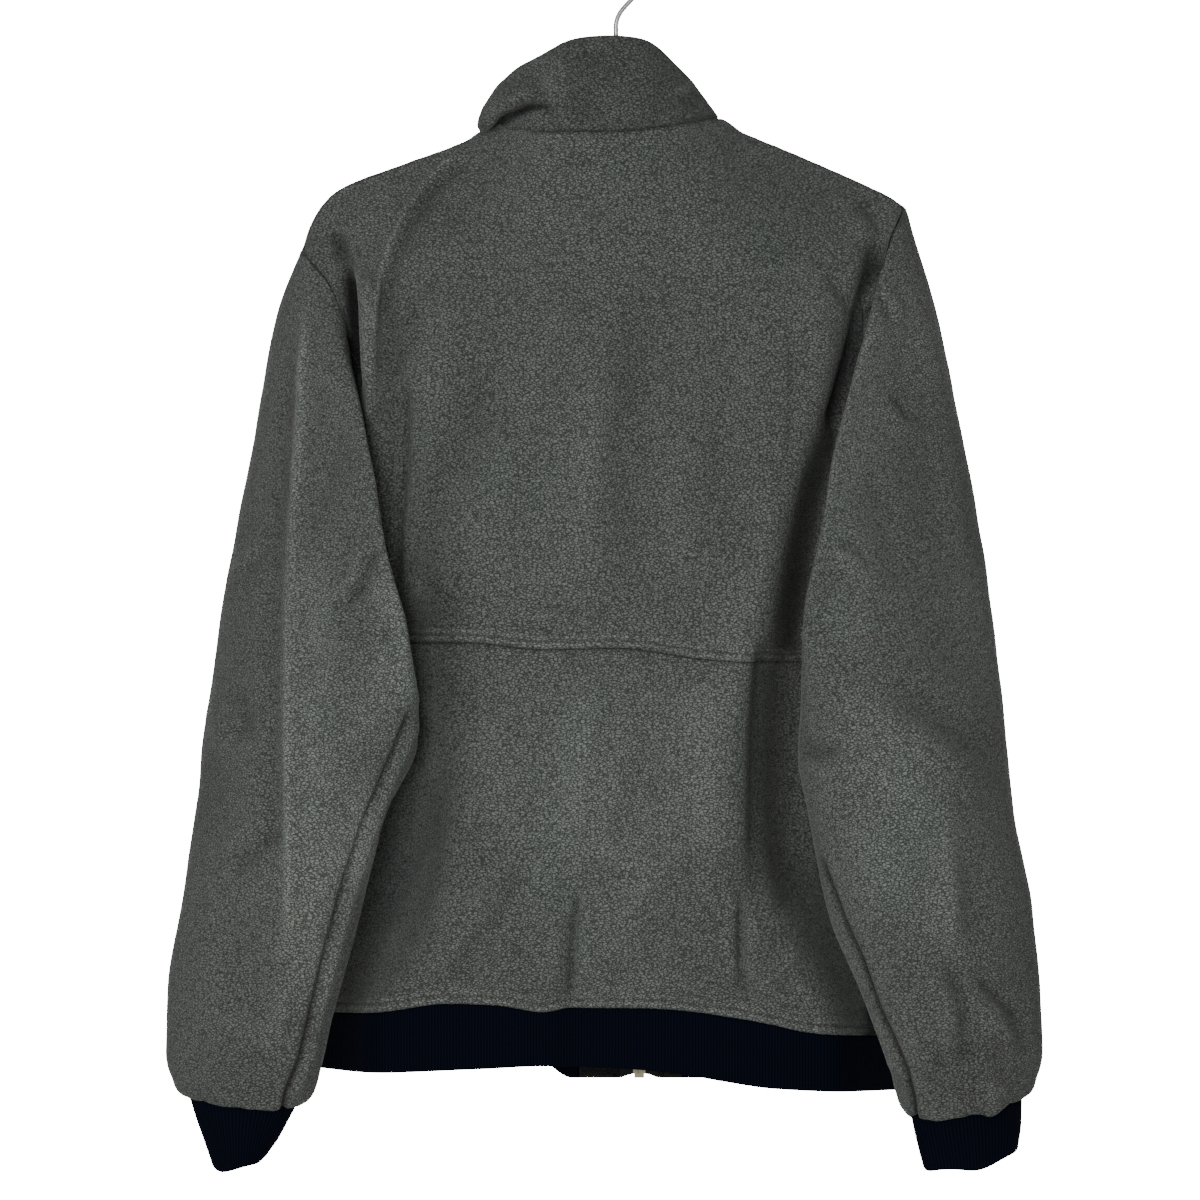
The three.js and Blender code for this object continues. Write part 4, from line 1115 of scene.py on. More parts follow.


# In every row the tone is painted light: painted shade in troughs and gaps, painted highlights on ridges.
BACK_CREASES = creases([
    # The deep fold beside the left armhole, the roll that covers it and the line across the shoulder.
    [(-204, -194, -199, -208, -194, -224), 5, 6, -0.45, 0, 0.4],
    # Its tone paints the black shadow in the gap beside the armhole.
    [(-196, -208, -192, -228, -189, -251, -188, -277, -186, -303, -183, -331), 3.8, 11, -1.9, 0.3, 0.42],
    [(-186, -213, -179, -241, -176, -277, -175, -321), 4.6, -4, 0.2],
    [(-105, -142, -123, -151, -139, -167, -150, -184, -161, -208, -166, -223, -171, -243, -174, -259,
        -172, -281), 2.4, -2.6, 0.34, 0, 0.12],
    [(-99, -146, -118, -156, -133, -172, -144, -189, -155, -210, -160, -228, -164, -247, -166, -270),
        4.6, 3.4, -0.22, 0, 0.15],
    [(-162, -249, -160, -285, -158, -321, -161, -371, -167, -429), 9, 5, -0.16, 0.3],
    [(-150, -299, -151, -342, -153, -378, -156, -414, -158, -465), 3, 4, -0.22, 0.5, 0.2],
    [(-120, -238, -127, -277, -135, -324), 16, -5, 0.08],
    [(-78, -288, -107, -348, -130, -398, -141, -465), 13, 6, -0.12],
    [(-58, -321, -87, -393, -96, -465), 18, -5, 0.07],
    [(-73, -470, -46, -470, -17, -472), 1.8, 1.4, -0.1],
    [(-69, -477, -40, -477, -10, -480), 1.8, -1, 0.12],
    [(-98, -485, -62, -484, -33, -486), 1.8, 1.2, -0.08],
    # Long soft bands down the upper back.
    [(-40, -241, -36, -285), 12, -3.5, 0.08],
    [(-12, -249, -14, -321, -20, -393, -22, -465), 15, -5, 0.1],
    [(37, -177, 21, -270, 10, -349, 6, -421, 9, -493), 15, 5.6, -0.12, 0.2, 0.4],
    [(53, -335, 46, -393, 53, -457), 15, -4.5, 0.06],
    [(86, -249, 78, -335, 76, -407), 12, 3.6, -0.04],
    [(125, -267, 126, -321, 122, -371), 2.8, 2.4, -0.16, -0.4],
    [(112, -364, 107, -429, 98, -479), 9, -3, 0.1],
    [(-12, -159, -40, -198, -69, -221), 16, 3],
    [(53, -155, 75, -198, 60, -241), 18, -3],
    # The hollow between the right fold and the sleeve, with painted shadow in it, and short pulls at that
    # armhole.
    [(196, -204, 187, -218, 180, -243, 175, -267, 169, -293, 161, -324, 153, -349), 6.5, 10, -0.6, 0, 0.14],
    [(147, -349, 138, -393, 131, -429, 123, -472, 118, -501), 9, 3, -0.3, 0, 0.2],
    [(168, -175, 181, -185, 194, -197), 5, 2, -0.14, 0.2, 0.4],
    [(160, -185, 174, -195, 189, -208), 6, -1.8, 0.1, 0, 0.4],
    [(151, -234, 160, -243, 168, -254), 5, 4, -0.18],
    [(132, -213, 143, -249, 141, -285), 10, -2.6, 0.04],
    # The lower back: its light centre, the turns to the sides and the pulls above the hem.
    [(-19, -513, -23, -573, -30, -632), 13, -5, 0.16],
    [(-84, -529, -91, -594, -84, -637), 20, -3, 0.06],
    [(26, -555, 19, -601, -3, -645), 11, 5, -0.1],
    [(-27, -665, -30, -695, -32, -724, -33, -756), 2.6, 4, -0.4, 0.5, 0.2],
    [(-20, -666, -22, -709, -23, -745), 6, -2.6, 0.1],
    [(-43, -681, -45, -717, -48, -749), 9, -3, 0.08],
    [(60, -630, 28, -659, 4, -695), 11, -5, 0.1],
    [(53, -681, 17, -724, -12, -742), 9, 3.6, -0.06],
    [(91, -663, 88, -702, 89, -747), 2.2, 3.2, -0.26, 0, 0.3],
    [(83, -666, 81, -702, 82, -742), 4, -1.8, 0.14],
    [(96, -666, 96, -702, 97, -742), 4, -2, 0.14],
    [(107, -486, 102, -551, 100, -601, 99, -645, 101, -702), 5.5, 4, -0.26, -0.4, 0.12],
    [(117, -483, 112, -565, 114, -630, 130, -695), 14, 4, -0.36, 0, 0.12],
    [(-122, -529, -130, -587, -141, -630, -170, -724), 22, 9, -0.2],
    [(-58, -637, -78, -689, -122, -742), 7, 3, -0.09],
    [(-80, -645, -102, -691, -138, -742), 9, -4.4, 0.09],
    [(-134, -630, -152, -681, -166, -724), 7, -3, 0.1],
    [(-128, -514, -105, -504), 5, -2.4, 0.12],
    [(65, -508, 65, -580, 69, -659), 18, -3.6, 0.26],
    [(132, -709, 111, -735, 98, -753), 7, -3.2, 0.14],
    # Painted shadow where the lower back turns away at its right corner.
    [(183, -753, 184, -767, 179, -786), 6, 0, -1.3, 0, 0.2],
    # Painted light and shade only: rows that lighten or darken the colour, with no relief.
    [(-9, -465, -17, -573, -40, -753), 74, 0, 0.34, 0, 0.48],
    [(-55, -702, -12, -724, 46, -731), 30, 0, 0.12],
    [(-127, -580, -111, -630, -118, -681), 28, 0, -0.14],
    [(-156, -169, -127, -187, -120, -213), 26, 0, -0.16],
    [(89, -148, 132, -177, 154, -213), 26, 0, -0.08],
    [(-19, -306, -12, -349, -40, -393), 50, 0, 0.08],
    [(-156, -238, -152, -270, -157, -317), 15, 0, -0.25, 0, 0.35],
    [(-131, -414, -125, -493, -120, -587), 19, 0, -0.42, 0, 0.35],
    [(-148, -436, -144, -493, -140, -558), 7, 0, 1, 0, 0.2],
    [(-69, -342, -49, -421, -40, -493), 50, 0, 0.13, 0, 0.35],
    [(79, -414, 86, -493, 87, -594), 20, 0, 0.22, 0, 0.35],
    [(109, -691, 112, -717, 112, -742), 10, 0, -0.16, 0, 0.35],
    [(-13, -641, -9, -666, -7, -684), 12, 0, -0.14, 0, 0.35],
    [(-43, -148, -29, -151, -17, -155), 10, 0, -0.16, 0, 0.35],
])
FRONT_CREASES = creases([
    [(-120, -170, -60, -260, -40, -420), 20, 2.2],
    [(120, -180, 60, -280, 48, -440), 20, 2.2],
    [(-150, -470, -100, -520, -60, -640), 16, 2.6],
    [(150, -450, 110, -540, 70, -680), 16, 2.6],
    [(-50, -600, -40, -740), 10, -2],
    [(70, -640, 60, -750), 10, -2],
])
# The fold pressed down the left sleeve, as x and z in turn.
PRESSED_FOLD = (
    -222, -246, -224, -308, -228, -371, -231, -434, -233, -475, -233, -559, -232, -630, -232, -724,
)
# The tone is painted light: painted shade in troughs, painted highlights on ridges and along the pressed
# fold.
LEFT_SLEEVE_CREASES = creases([
    [PRESSED_FOLD, 2.6, -2.6, 0.6, 0, 0.1],
    [PRESSED_FOLD, 6.5, -1.6, 0.16, 0, 0.12],
    [(-232, -256, -236, -321, -240, -393, -243, -475, -243, -559, -243, -681), 7, 3.4, -0.16, 0, 0.15],
    [(-145, -536, -152, -554, -163, -581, -177, -616, -189, -650, -198, -678, -208, -717, -225, -789,
        -242, -833), 1.7, 3, -0.85, 0, 0.05],
    [(-139, -541, -146, -560, -158, -588, -171, -623, -183, -658, -192, -685, -202, -724, -219, -793,
        -233, -825), 3, -2.2, 0.24, 0, 0.06],
    [(-158, -601, -164, -619, -170, -639), 2.4, 2.6, -0.35],
    [(-169, -421, -181, -456, -197, -474), 3, 4, -0.38, 0.4],
    [(-176, -420, -188, -452, -203, -468), 4.5, -3, 0.26],
    [(-222, -300, -194, -311), 5, -2.4, 0.1],
    [(-253, -422, -274, -444), 3.6, -2.8, 0.16],
    [(-248, -426, -268, -450), 3.6, 2.4, -0.12],
    [(-163, -480, -158, -493), 4.5, 4, -0.16],
    [(-158, -499, -154, -509), 4.5, 3.4, -0.16],
    [(-190, -335, -206, -378, -228, -407), 12, 3.4, -0.06],
    [(-166, -537, -192, -565, -213, -609), 14, -3.6, 0.08],
    [(-278, -529, -262, -545, -271, -567), 6, 4.2, -0.22],
    [(-289, -537, -279, -557, -284, -580), 6, -3, 0.1],
    [(-235, -624, -255, -642, -276, -660), 5, 4.2, -0.24],
    [(-242, -613, -264, -630, -284, -645), 6, -3, 0.1],
    [(-206, -493, -235, -529), 9, 2.6, -0.04],
    [(-285, -681, -264, -724, -255, -767), 14, 3.6, -0.06],
    [(-228, -724, -238, -760, -255, -789), 8, -3.2, 0.08],
    # Painted light and shade only, with no relief.
    [(-161, -493, -163, -537, -177, -580), 22, 0, 0.28],
    [(-264, -774, -271, -796, -272, -825), 30, 0, -0.14],
    [(-235, -609, -228, -645, -235, -681), 22, 0, 0.08],
    [(-215, -414, -215, -537, -216, -652, -219, -767), 17, 0, 0.34, 0, 0.12],
    [(-166, -400, -161, -479, -156, -558), 13, 0, 0.26, 0, 0.35],
    [(-171, -562, -183, -630, -195, -695), 19, 0, 0.34, 0, 0.35],
    [(-289, -529, -294, -594, -296, -659), 22, 0, -0.14, 0, 0.35],
    [(-157, -450, -150, -501, -143, -551), 9, 0, 0.4, 0, 0.15],
    [(-176, -594, -183, -637, -192, -673), 12, 0, 0.3, 0, 0.35],
])
# The tone is painted light: painted shade in troughs, painted highlights on ridges.
RIGHT_SLEEVE_CREASES = creases([
    [(145, -645, 161, -689, 174, -717, 186, -750, 197, -776, 207, -799, 217, -838), 1.7, 3, -0.85, 0, 0.05],
    [(138, -650, 153, -692, 168, -722, 179, -754, 191, -781, 199, -803), 3, -2.2, 0.24, 0, 0.06],
    [(194, -316, 202, -324, 210, -336), 3, 3.2, -0.22, 0.2, 0.3],
    [(210, -338, 226, -335, 238, -341), 3.4, 2.8, -0.14, 0, 0.3],
    [(190, -324, 197, -332, 207, -344, 226, -344), 5, -2.6, 0.16],
    [(157, -421, 168, -428, 181, -437), 2.6, 3, -0.26, 0.2, 0.3],
    [(177, -377, 186, -387, 193, -401), 3, 2.4, -0.12, 0, 0.3],
    [(154, -429, 166, -435, 177, -444), 4.5, -2.4, 0.16],
    [(129, -567, 143, -573, 160, -571), 5, 4.4, -0.34],
    [(131, -580, 147, -586, 166, -583), 5, -3, 0.12],
    [(183, -522, 226, -545, 280, -578), 10, 4.6, -0.16],
    [(176, -537, 219, -565, 269, -601), 10, -3.6, -0.05],
    [(251, -630, 252, -681, 259, -718), 10, 2.8, -0.12, 0, 0.3],
    [(233, -601, 238, -666, 240, -702, 249, -732), 7, -3.2, 0.16, 0, 0.3],
    [(252, -728, 272, -748, 295, -770), 3.4, 4.6, -0.34, 0.2],
    [(232, -713, 249, -753, 249, -778, 242, -800), 7, 4, -0.2],
    [(246, -743, 266, -761, 285, -781), 6, -3.4, 0.12],
    [(222, -720, 237, -760, 233, -790), 8, -3, 0.12],
    [(258, -820, 269, -812, 279, -807), 5, -2.4, 0.2],
    [(276, -758, 288, -774, 292, -792), 4, 2.4, -0.14],
    [(181, -236, 190, -249, 199, -270), 3, 2.6, -0.14],
    [(187, -233, 197, -246, 206, -267), 3.4, -2.2, 0.1],
    [(208, -205, 222, -277, 237, -371, 249, -465), 12, -3.6, 0.1],
    [(168, -371, 190, -407, 208, -465), 12, 3.2, -0.06],
    [(168, -609, 197, -652, 204, -681), 14, -3, 0.1],
    [(226, -767, 230, -796, 233, -825), 8, 3, -0.1],
    [(258, -781, 266, -810, 266, -828), 8, -2.8, 0.08],
    # Painted light and shade only, with no relief.
    [(190, -220, 168, -335, 168, -421, 190, -522), 26, 0, 0.28],
    [(173, -479, 208, -609, 240, -745), 34, 0, 0.46, 0, 0.5],
    [(248, -774, 251, -796, 253, -825), 26, 0, -0.2],
    [(160, -457, 166, -483, 170, -511), 15, 0, 0.2, 0, 0.35],
    [(249, -414, 255, -493, 268, -558), 24, 0, 0.2, 0, 0.35],
    [(167, -619, 181, -659, 196, -702), 18, 0, 0.16, 0, 0.35],
    [(222, -659, 225, -688, 226, -724), 12, 0, 0.2, 0, 0.35],
    [(193, -209, 208, -270, 226, -328), 20, 0, 0.14, 0, 0.35],
    [(251, -823, 266, -827, 279, -826), 10, 0, -0.3, 0, 0.35],
])
# The tone is painted light: painted shadow in the pinch under the roll, painted highlights on ridges.
COLLAR_CREASES = creases([
    [(-111, -135, -92, -126, -75, -117, -59, -110, -43, -109), 3, 6.5, -0.95, 0.4, 0.3],
    [(-101, -115, -84, -108, -66, -101, -51, -99), 8, -4, 0.1],
    [(-94, -105, -78, -92, -58, -77, -42, -66), 5, -2.2, 0.16],
    [(-96, -134, -84, -129, -69, -124), 5, -3, 0.14],
    [(-55, -105, -48, -110, -46, -118), 5, 2.6, -0.12],
    [(-40, -83, -12, -77, 17, -80), 12, 2.6, -0.08],
    [(-40, -105, -4, -113, 32, -108), 10, -2.6, 0.04],
    [(43, -100, 49, -97, 55, -99), 4, -2.6, 0.36],
    [(43, -105, 52, -105, 60, -110), 4.5, 2.6, -0.12],
    # Painted light and shade only, with no relief.
    [(-39, -108, -24, -113, -14, -125), 10, 0, -0.2, 0, 0.35],
    [(-58, -92, -46, -89, -32, -86), 12, 0, 0.26, 0, 0.35],
])


# ---------------------------------------------------------------- finishes


@dataclass(frozen=True)
class Finish:
    """Surface of a plain material.

    Attributes:
        name: Material name.
        color: Linear colour.
        roughness: Microfacet roughness.
        metallic: 1 for bare metal.
        specular: Strength of the dielectric reflection.
        sheen: Strength of the fibres' edge light.
        sheen_roughness: How far that light spreads.
        wear: How much the roughness of a smooth surface varies.
        scratches: Depth of its faint wear, in metres.
    """

    name: str
    color: Triple
    roughness: float
    metallic: float = 0.0
    specular: float = 0.5
    sheen: float = 0.0
    sheen_roughness: float = 0.6
    wear: float = 0.16
    scratches: float = 0.00005


@dataclass(frozen=True)
class Fleece(Finish):
    """Short-nap fleece.

    Attributes:
        grain: Size of a tuft, in metres.
        lift: Height of the nap, in metres.
        valley: Colour painted between tufts, as a share of the nap's: painted shade.
        crest: Colour painted on the tufts' tops, as a share of the nap's: painted highlight.
        patches: How much brushed patches differ in tone.
        rim: How much lighter the colour is painted where the cloth is seen along its face: a painted rim
            highlight.
        rim_from: How far the cloth is turned where that starts.
        cool: Tint of the patches that are brushed one way.
        warm: Tint of the patches that are brushed the other way.
    """

    grain: float = 0.0018
    lift: float = 0.0008
    valley: float = 0.22
    crest: float = 1.45
    patches: float = 0.12
    rim: float = 1.0
    rim_from: float = 0.55
    cool: Triple = (0.93, 1.02, 1.01)
    warm: Triple = (1.08, 0.99, 0.97)


@dataclass(frozen=True)
class Knit(Finish):
    """Rib knit, whose ribs follow the first cloth coordinate.

    Attributes:
        lift: Height of a rib, in metres.
        valley: Colour painted between ribs, as a share of the yarn's: painted shade.
    """

    lift: float = 0.0006
    valley: float = 0.4


@dataclass(frozen=True)
class Timber(Finish):
    """Varnished wood, grained along X.

    Attributes:
        dark: Linear colour of the grain lines.
        streaks: How many vary in a metre along each axis.
        lift: Height of the grain, in metres.
    """

    dark: Triple = (0.1, 0.05, 0.02)
    streaks: Triple = (6.0, 160.0, 160.0)
    lift: float = 0.0002


@dataclass(frozen=True)
class Webbing(Finish):
    """Zip tape with a stiff film at its foot, beside the teeth.

    Attributes:
        film: Linear colour of the film.
        film_width: Its share of the tape's width.
        film_top: Height of its top, in metres.
    """

    film: Triple = (0.48, 0.42, 0.29)
    film_width: float = 0.28
    film_top: float = -0.797


FLEECE = Fleece("fleece", (0.1045, 0.113, 0.1055), 0.95, specular=0.05, sheen=0.1)
RIB = Knit("rib", (0.0028, 0.0045, 0.011), 0.85, specular=0.03)
TAPE = Webbing("tape", (0.010, 0.011, 0.013), 0.85, specular=0.2)
TEETH = Finish("teeth", (0.012, 0.012, 0.013), 0.4)
NICKEL = Finish("nickel", (0.50, 0.49, 0.46), 0.3, metallic=1.0)
BOX = Finish("box", (0.48, 0.42, 0.29), 0.45)
WOOD = Timber("wood", (0.34, 0.19, 0.09), 0.3)
STEEL = Finish("steel", (0.62, 0.62, 0.61), 0.22, metallic=1.0)
THREAD = Finish("thread", (0.075, 0.082, 0.075), 0.7, specular=0.2)


class Nodes:
    """Short calls to add and link shader nodes in one tree."""

    def __init__(self, tree: NodeTree) -> None:
        """Keep the tree and the shader it starts with, if any."""
        self.tree = tree
        self.shader = tree.nodes.get("Principled BSDF") or tree.nodes.get("Background")

    def drive(self, name: str, value: NodeSocket) -> None:
        """Link a value to the shader's input of that name."""
        self.tree.links.new(value, self.shader.inputs[name])

    def add(self, kind: str, inputs: dict[str | int, object] | None = None, **settings: object) -> Node:
        """Add a node.

        Args:
            kind: Its type.
            inputs: Values or sockets to link, by input.
            settings: Its properties.

        Returns:
            The node.
        """
        node = self.tree.nodes.new(kind)
        for name, value in settings.items():
            setattr(node, name, value)
        for key, value in (inputs or {}).items():
            if isinstance(value, NodeSocket):
                self.tree.links.new(value, node.inputs[key])
            else:
                node.inputs[key].default_value = value
        return node

    def place(self) -> NodeSocket:
        """Read the place on the object."""
        return self.add("ShaderNodeTexCoord").outputs["Object"]

    def stretched(self, place: object, scale: Sequence[float]) -> NodeSocket:
        """Scale a place along each axis."""
        return self.add("ShaderNodeMapping", {"Vector": place, "Scale": scale}).outputs[0]

    def noise(self, place: object, scale: object, detail: float, **more: float) -> NodeSocket:
        """Add noise from 0 to 1 at a place, with its scale, its detail and what else it is given."""
        return self.add("ShaderNodeTexNoise", {
            "Vector": place, "Scale": scale, "Detail": detail, **more,
        }).outputs[0]

    def vector(self, operation: str, inputs: dict[str | int, object]) -> NodeSocket:
        """Add a vector math node and return its result."""
        return self.add("ShaderNodeVectorMath", inputs, operation=operation).outputs[0]

    def ease(self, value: object, low: float, high: float) -> NodeSocket:
        """Ease a value in from 0 at low to 1 at high."""
        return self.add("ShaderNodeMapRange", {
            0: value, 1: low, 2: high,
        }, interpolation_type="SMOOTHSTEP").outputs[0]

    def math(self, operation: str, *values: object) -> NodeSocket:
        """Add a math node and return its result."""
        return self.add("ShaderNodeMath", dict(enumerate(values)), operation=operation).outputs[0]

    def blend(self, share: object, a: object, b: object) -> NodeSocket:
        """Blend two colours, a at share 0 and b at share 1, and return the colour."""
        return self.add("ShaderNodeMix", {0: share, 6: a, 7: b}, data_type="RGBA").outputs[2]


def make_group(
    name: str, inputs: dict[str, float], outputs: Sequence[str],
) -> tuple[NodeTree, Nodes, Node]:
    """Start a shader node group.

    Args:
        name: Group name.
        inputs: Float inputs and their defaults.
        outputs: Float outputs.

    Returns:
        The group, calls to add nodes to it, and its input node.
    """
    group = bpy.data.node_groups.new(name, "ShaderNodeTree")
    for key, value in inputs.items():
        socket = group.interface.new_socket(key, in_out="INPUT", socket_type="NodeSocketFloat")
        socket.default_value = value
    for key in outputs:
        group.interface.new_socket(key, in_out="OUTPUT", socket_type="NodeSocketFloat")
    nodes = Nodes(group)
    return group, nodes, nodes.add("NodeGroupInput")


@dataclass(frozen=True)
class NapSizes:
    """Pattern of the nap.

    Attributes:
        bend: Size of the noise that bends the tufts, as a share of their frequency.
        shift: How far it bends them, in tufts.
        stretch: How much closer the tufts stand along each axis.
        gap: Width of the gap between tufts, in tufts.
        fibre: Frequency of the finer fibres, as a share of the tufts'.
        fuzz: The fibres' share of the height.
        patch: Brushed patches in a metre along each axis.
    """

    bend: float = 0.6
    shift: float = 1.6
    stretch: Triple = (0.6, 1.0, 1.15)
    gap: float = 0.2
    fibre: float = 2.7
    fuzz: float = 0.2
    patch: Triple = (16.0, 16.0, 7.0)


def nap_group(sizes: NapSizes) -> NodeTree:
    """Make the nap: curled tufts with finer fibres on them, and soft brushed patches.

    Args:
        sizes: The pattern's sizes.

    Returns:
        A group with the outputs Height and Patch, each from 0 to 1.
    """
    group, n, given = make_group("Nap", {"Frequency": 400.0}, ("Height", "Patch"))
    tufts = given.outputs["Frequency"]
    place = n.place()
    bent = n.add("ShaderNodeTexNoise", {
        "Vector": place, "Scale": n.math("MULTIPLY", tufts, sizes.bend), "Detail": 1.0,
    }).outputs["Color"]
    away = n.vector("SUBTRACT", {0: bent, 1: (0.5, 0.5, 0.5)})
    shift = n.vector("SCALE", {0: away, "Scale": n.math("DIVIDE", sizes.shift, tufts)})
    drawn = n.stretched(n.vector("ADD", {0: place, 1: shift}), sizes.stretch)
    curls = n.add("ShaderNodeTexVoronoi", {"Vector": drawn, "Scale": tufts}, feature="DISTANCE_TO_EDGE")
    tuft = n.ease(curls.outputs["Distance"], 0.0, sizes.gap)
    fine = n.noise(place, n.math("MULTIPLY", tufts, sizes.fibre), 1.0)
    height = n.math("MULTIPLY_ADD", tuft, 1 - sizes.fuzz, n.math("MULTIPLY", fine, sizes.fuzz))
    patch = n.noise(n.stretched(place, sizes.patch), 1.0, 3.0, Roughness=0.55)
    n.add("NodeGroupOutput", {"Height": height, "Patch": patch})
    return group


def rib_group(yarns: float = 900.0, fuzz: float = 0.3, roundness: float = 0.6) -> NodeTree:
    """Make the rib: rounded ribs along the cloth with a little unevenness.

    Args:
        yarns: Scale of the unevenness.
        fuzz: Its share of the height.
        roundness: Power of the wave across a rib, rounder towards 0.

    Returns:
        A group with the output Height, from 0 to 1.
    """
    group, n, given = make_group("Ribs", {"Wobble": 0.15}, ("Height",))
    uv = n.add("ShaderNodeUVMap", uv_map="cloth").outputs[0]
    across = n.add("ShaderNodeSeparateXYZ", {0: uv}).outputs[0]
    noise = n.noise(n.place(), yarns, 1.0)
    wobble = n.math("MULTIPLY", n.math("SUBTRACT", noise, 0.5), given.outputs["Wobble"])
    turn = n.math("MULTIPLY", n.math("ADD", across, wobble), 2 * math.pi)
    wave = n.math("MULTIPLY_ADD", n.math("COSINE", turn), 0.5, 0.5)
    height = n.math("MULTIPLY_ADD", noise, fuzz, n.math("POWER", wave, roundness))
    n.add("NodeGroupOutput", {"Height": height})
    return group


class Finishes:
    """Makes each material once."""

    def __init__(self) -> None:
        """Make the shared node groups."""
        self.nap = nap_group(NapSizes())
        self.ribs = rib_group()
        self.made: dict[str, Material] = {}

    def _start(self, finish: Finish) -> Nodes:
        """Start a material with its uniform values on the shader.

        Args:
            finish: What it is.

        Returns:
            Calls to add its nodes.
        """
        material = bpy.data.materials.new(finish.name)
        material.use_nodes = True
        self.made[finish.name] = material
        n = Nodes(material.node_tree)
        for socket, value in (
            ("Base Color", (*finish.color, 1)), ("Roughness", finish.roughness),
            ("Metallic", finish.metallic), ("Specular IOR Level", finish.specular),
            ("Sheen Weight", finish.sheen), ("Sheen Roughness", finish.sheen_roughness),
        ):
            n.shader.inputs[socket].default_value = value
        return n

    def get(self, finish: Finish) -> Material:
        """Make a material, or find it.

        Args:
            finish: What it is.

        Returns:
            The material.
        """
        if finish.name not in self.made:
            detail = {Fleece: self._fleece, Knit: self._knit, Timber: self._timber, Webbing: self._webbing}
            detail.get(type(finish), self._plain)(finish, self._start(finish))
        return self.made[finish.name]

    def _bump(self, n: Nodes, height: NodeSocket, lift: float) -> None:
        """Drive the shader's normal by a height from 0 to 1, whose size is in metres."""
        bump = n.add("ShaderNodeBump", {"Height": height, "Distance": lift, "Strength": 1.0})
        n.drive("Normal", bump.outputs[0])

    def _fleece(self, finish: Fleece, n: Nodes) -> None:
        """Add the nap.

        Args:
            finish: What the material is.
            n: Calls to add its nodes.
        """
        nap = n.add("ShaderNodeGroup", node_tree=self.nap)
        nap.inputs["Frequency"].default_value = 1 / finish.grain
        # Painted shade between the tufts and painted highlight on their tops.
        low = tuple(c * finish.valley for c in finish.color)
        high = tuple(c * finish.crest for c in finish.color)
        tufts_with_painted_shade = n.blend(nap.outputs["Height"], (*low, 1), (*high, 1))
        tone = n.math("MULTIPLY_ADD", n.math("SUBTRACT", nap.outputs["Patch"], 0.5), 2 * finish.patches, 1.0)
        # Painted light and shade from the cloth pieces' attribute scale the colour.
        painted_shading = n.add("ShaderNodeAttribute", attribute_name="painted_shading").outputs["Fac"]
        tone = n.math("MULTIPLY", tone, n.math("MAXIMUM", n.math("ADD", painted_shading, 1.0), 0.05))
        # Painted rim highlight: the colour is lightened where the cloth is seen along its face.
        turned = n.add("ShaderNodeLayerWeight", {"Blend": 0.5}).outputs["Facing"]
        rim = n.ease(turned, finish.rim_from, 1.0)
        tone = n.math("MULTIPLY", tone, n.math("MULTIPLY_ADD", rim, finish.rim, 1.0))
        dyed = n.blend(nap.outputs["Patch"], (*finish.cool, 1), (*finish.warm, 1))
        shaded = n.vector("SCALE", {0: n.vector("MULTIPLY", {0: tufts_with_painted_shade, 1: dyed}), "Scale": tone})
        n.drive("Base Color", shaded)
        self._bump(n, nap.outputs["Height"], finish.lift)

    def _knit(self, finish: Knit, n: Nodes) -> None:
        """Add the ribs.

        Args:
            finish: What the material is.
            n: Calls to add its nodes.
        """
        ribs = n.add("ShaderNodeGroup", node_tree=self.ribs)
        # Painted shade between the ribs.
        low = tuple(c * finish.valley for c in finish.color)
        n.drive("Base Color", n.blend(ribs.outputs[0], (*low, 1), (*finish.color, 1)))
        self._bump(n, ribs.outputs[0], finish.lift)

    def _webbing(self, finish: Webbing, n: Nodes) -> None:
        """Add the film at the tape's foot.

        Args:
            finish: What the material is.
            n: Calls to add its nodes.
        """
        uv = n.add("ShaderNodeUVMap", uv_map="cloth").outputs[0]
        place = n.place()
        beside = n.math("LESS_THAN", n.add("ShaderNodeSeparateXYZ", {0: uv}).outputs[0], finish.film_width)
        low = n.math("LESS_THAN", n.add("ShaderNodeSeparateXYZ", {0: place}).outputs[2], finish.film_top)
        color = n.blend(n.math("MULTIPLY", beside, low), (*finish.color, 1), (*finish.film, 1))
        n.drive("Base Color", color)
        self._plain(finish, n)

    def _timber(self, finish: Timber, n: Nodes) -> None:
        """Add wood grain.

        Args:
            finish: What the material is.
            n: Calls to add its nodes.
        """
        grain = n.noise(n.stretched(n.place(), finish.streaks), 1.0, 4.0, Distortion=0.4)
        n.drive("Base Color", n.blend(grain, (*finish.dark, 1), (*finish.color, 1)))
        self._bump(n, grain, finish.lift)

    def _plain(self, finish: Finish, n: Nodes) -> None:
        """Add faint wear to a plain surface's roughness.

        Args:
            finish: What the material is.
            n: Calls to add its nodes.
        """
        noise = n.noise(n.place(), 600.0, 2.0)
        rough = n.math("MULTIPLY_ADD", noise, finish.wear, finish.roughness - finish.wear / 2)
        n.drive("Roughness", rough)
        self._bump(n, noise, finish.scratches)


# ---------------------------------------------------------------- small parts


def blob(sizes: Triple, sides: int, rings: int, square: float) -> tuple[Array, Array]:
    """Make a small rounded body: a sphere whose sines and cosines are raised to a power.

    Args:
        sizes: Half sizes along its three axes.
        sides: Points round it.
        rings: Points from pole to pole.
        square: 1 for a sphere, towards 0 for a box.

    Returns:
        Points, and faces of four.
    """
    def sharpen(value: Array) -> Array:
        """Raise a sine or cosine to the power, keeping its sign."""
        return np.sign(value) * np.abs(value) ** square

    a = np.linspace(0, 2 * np.pi, sides, endpoint=False)[None, :]
    b = np.linspace(-0.98, 0.98, rings)[:, None] * np.pi / 2
    ring = sharpen(np.cos(b))
    points = vec(sharpen(np.cos(a)) * ring, sharpen(np.sin(a)) * ring, sharpen(np.sin(b)) + 0 * a)
    return points.reshape(-1, 3) * np.array(sizes), body_quads(rings, sides)


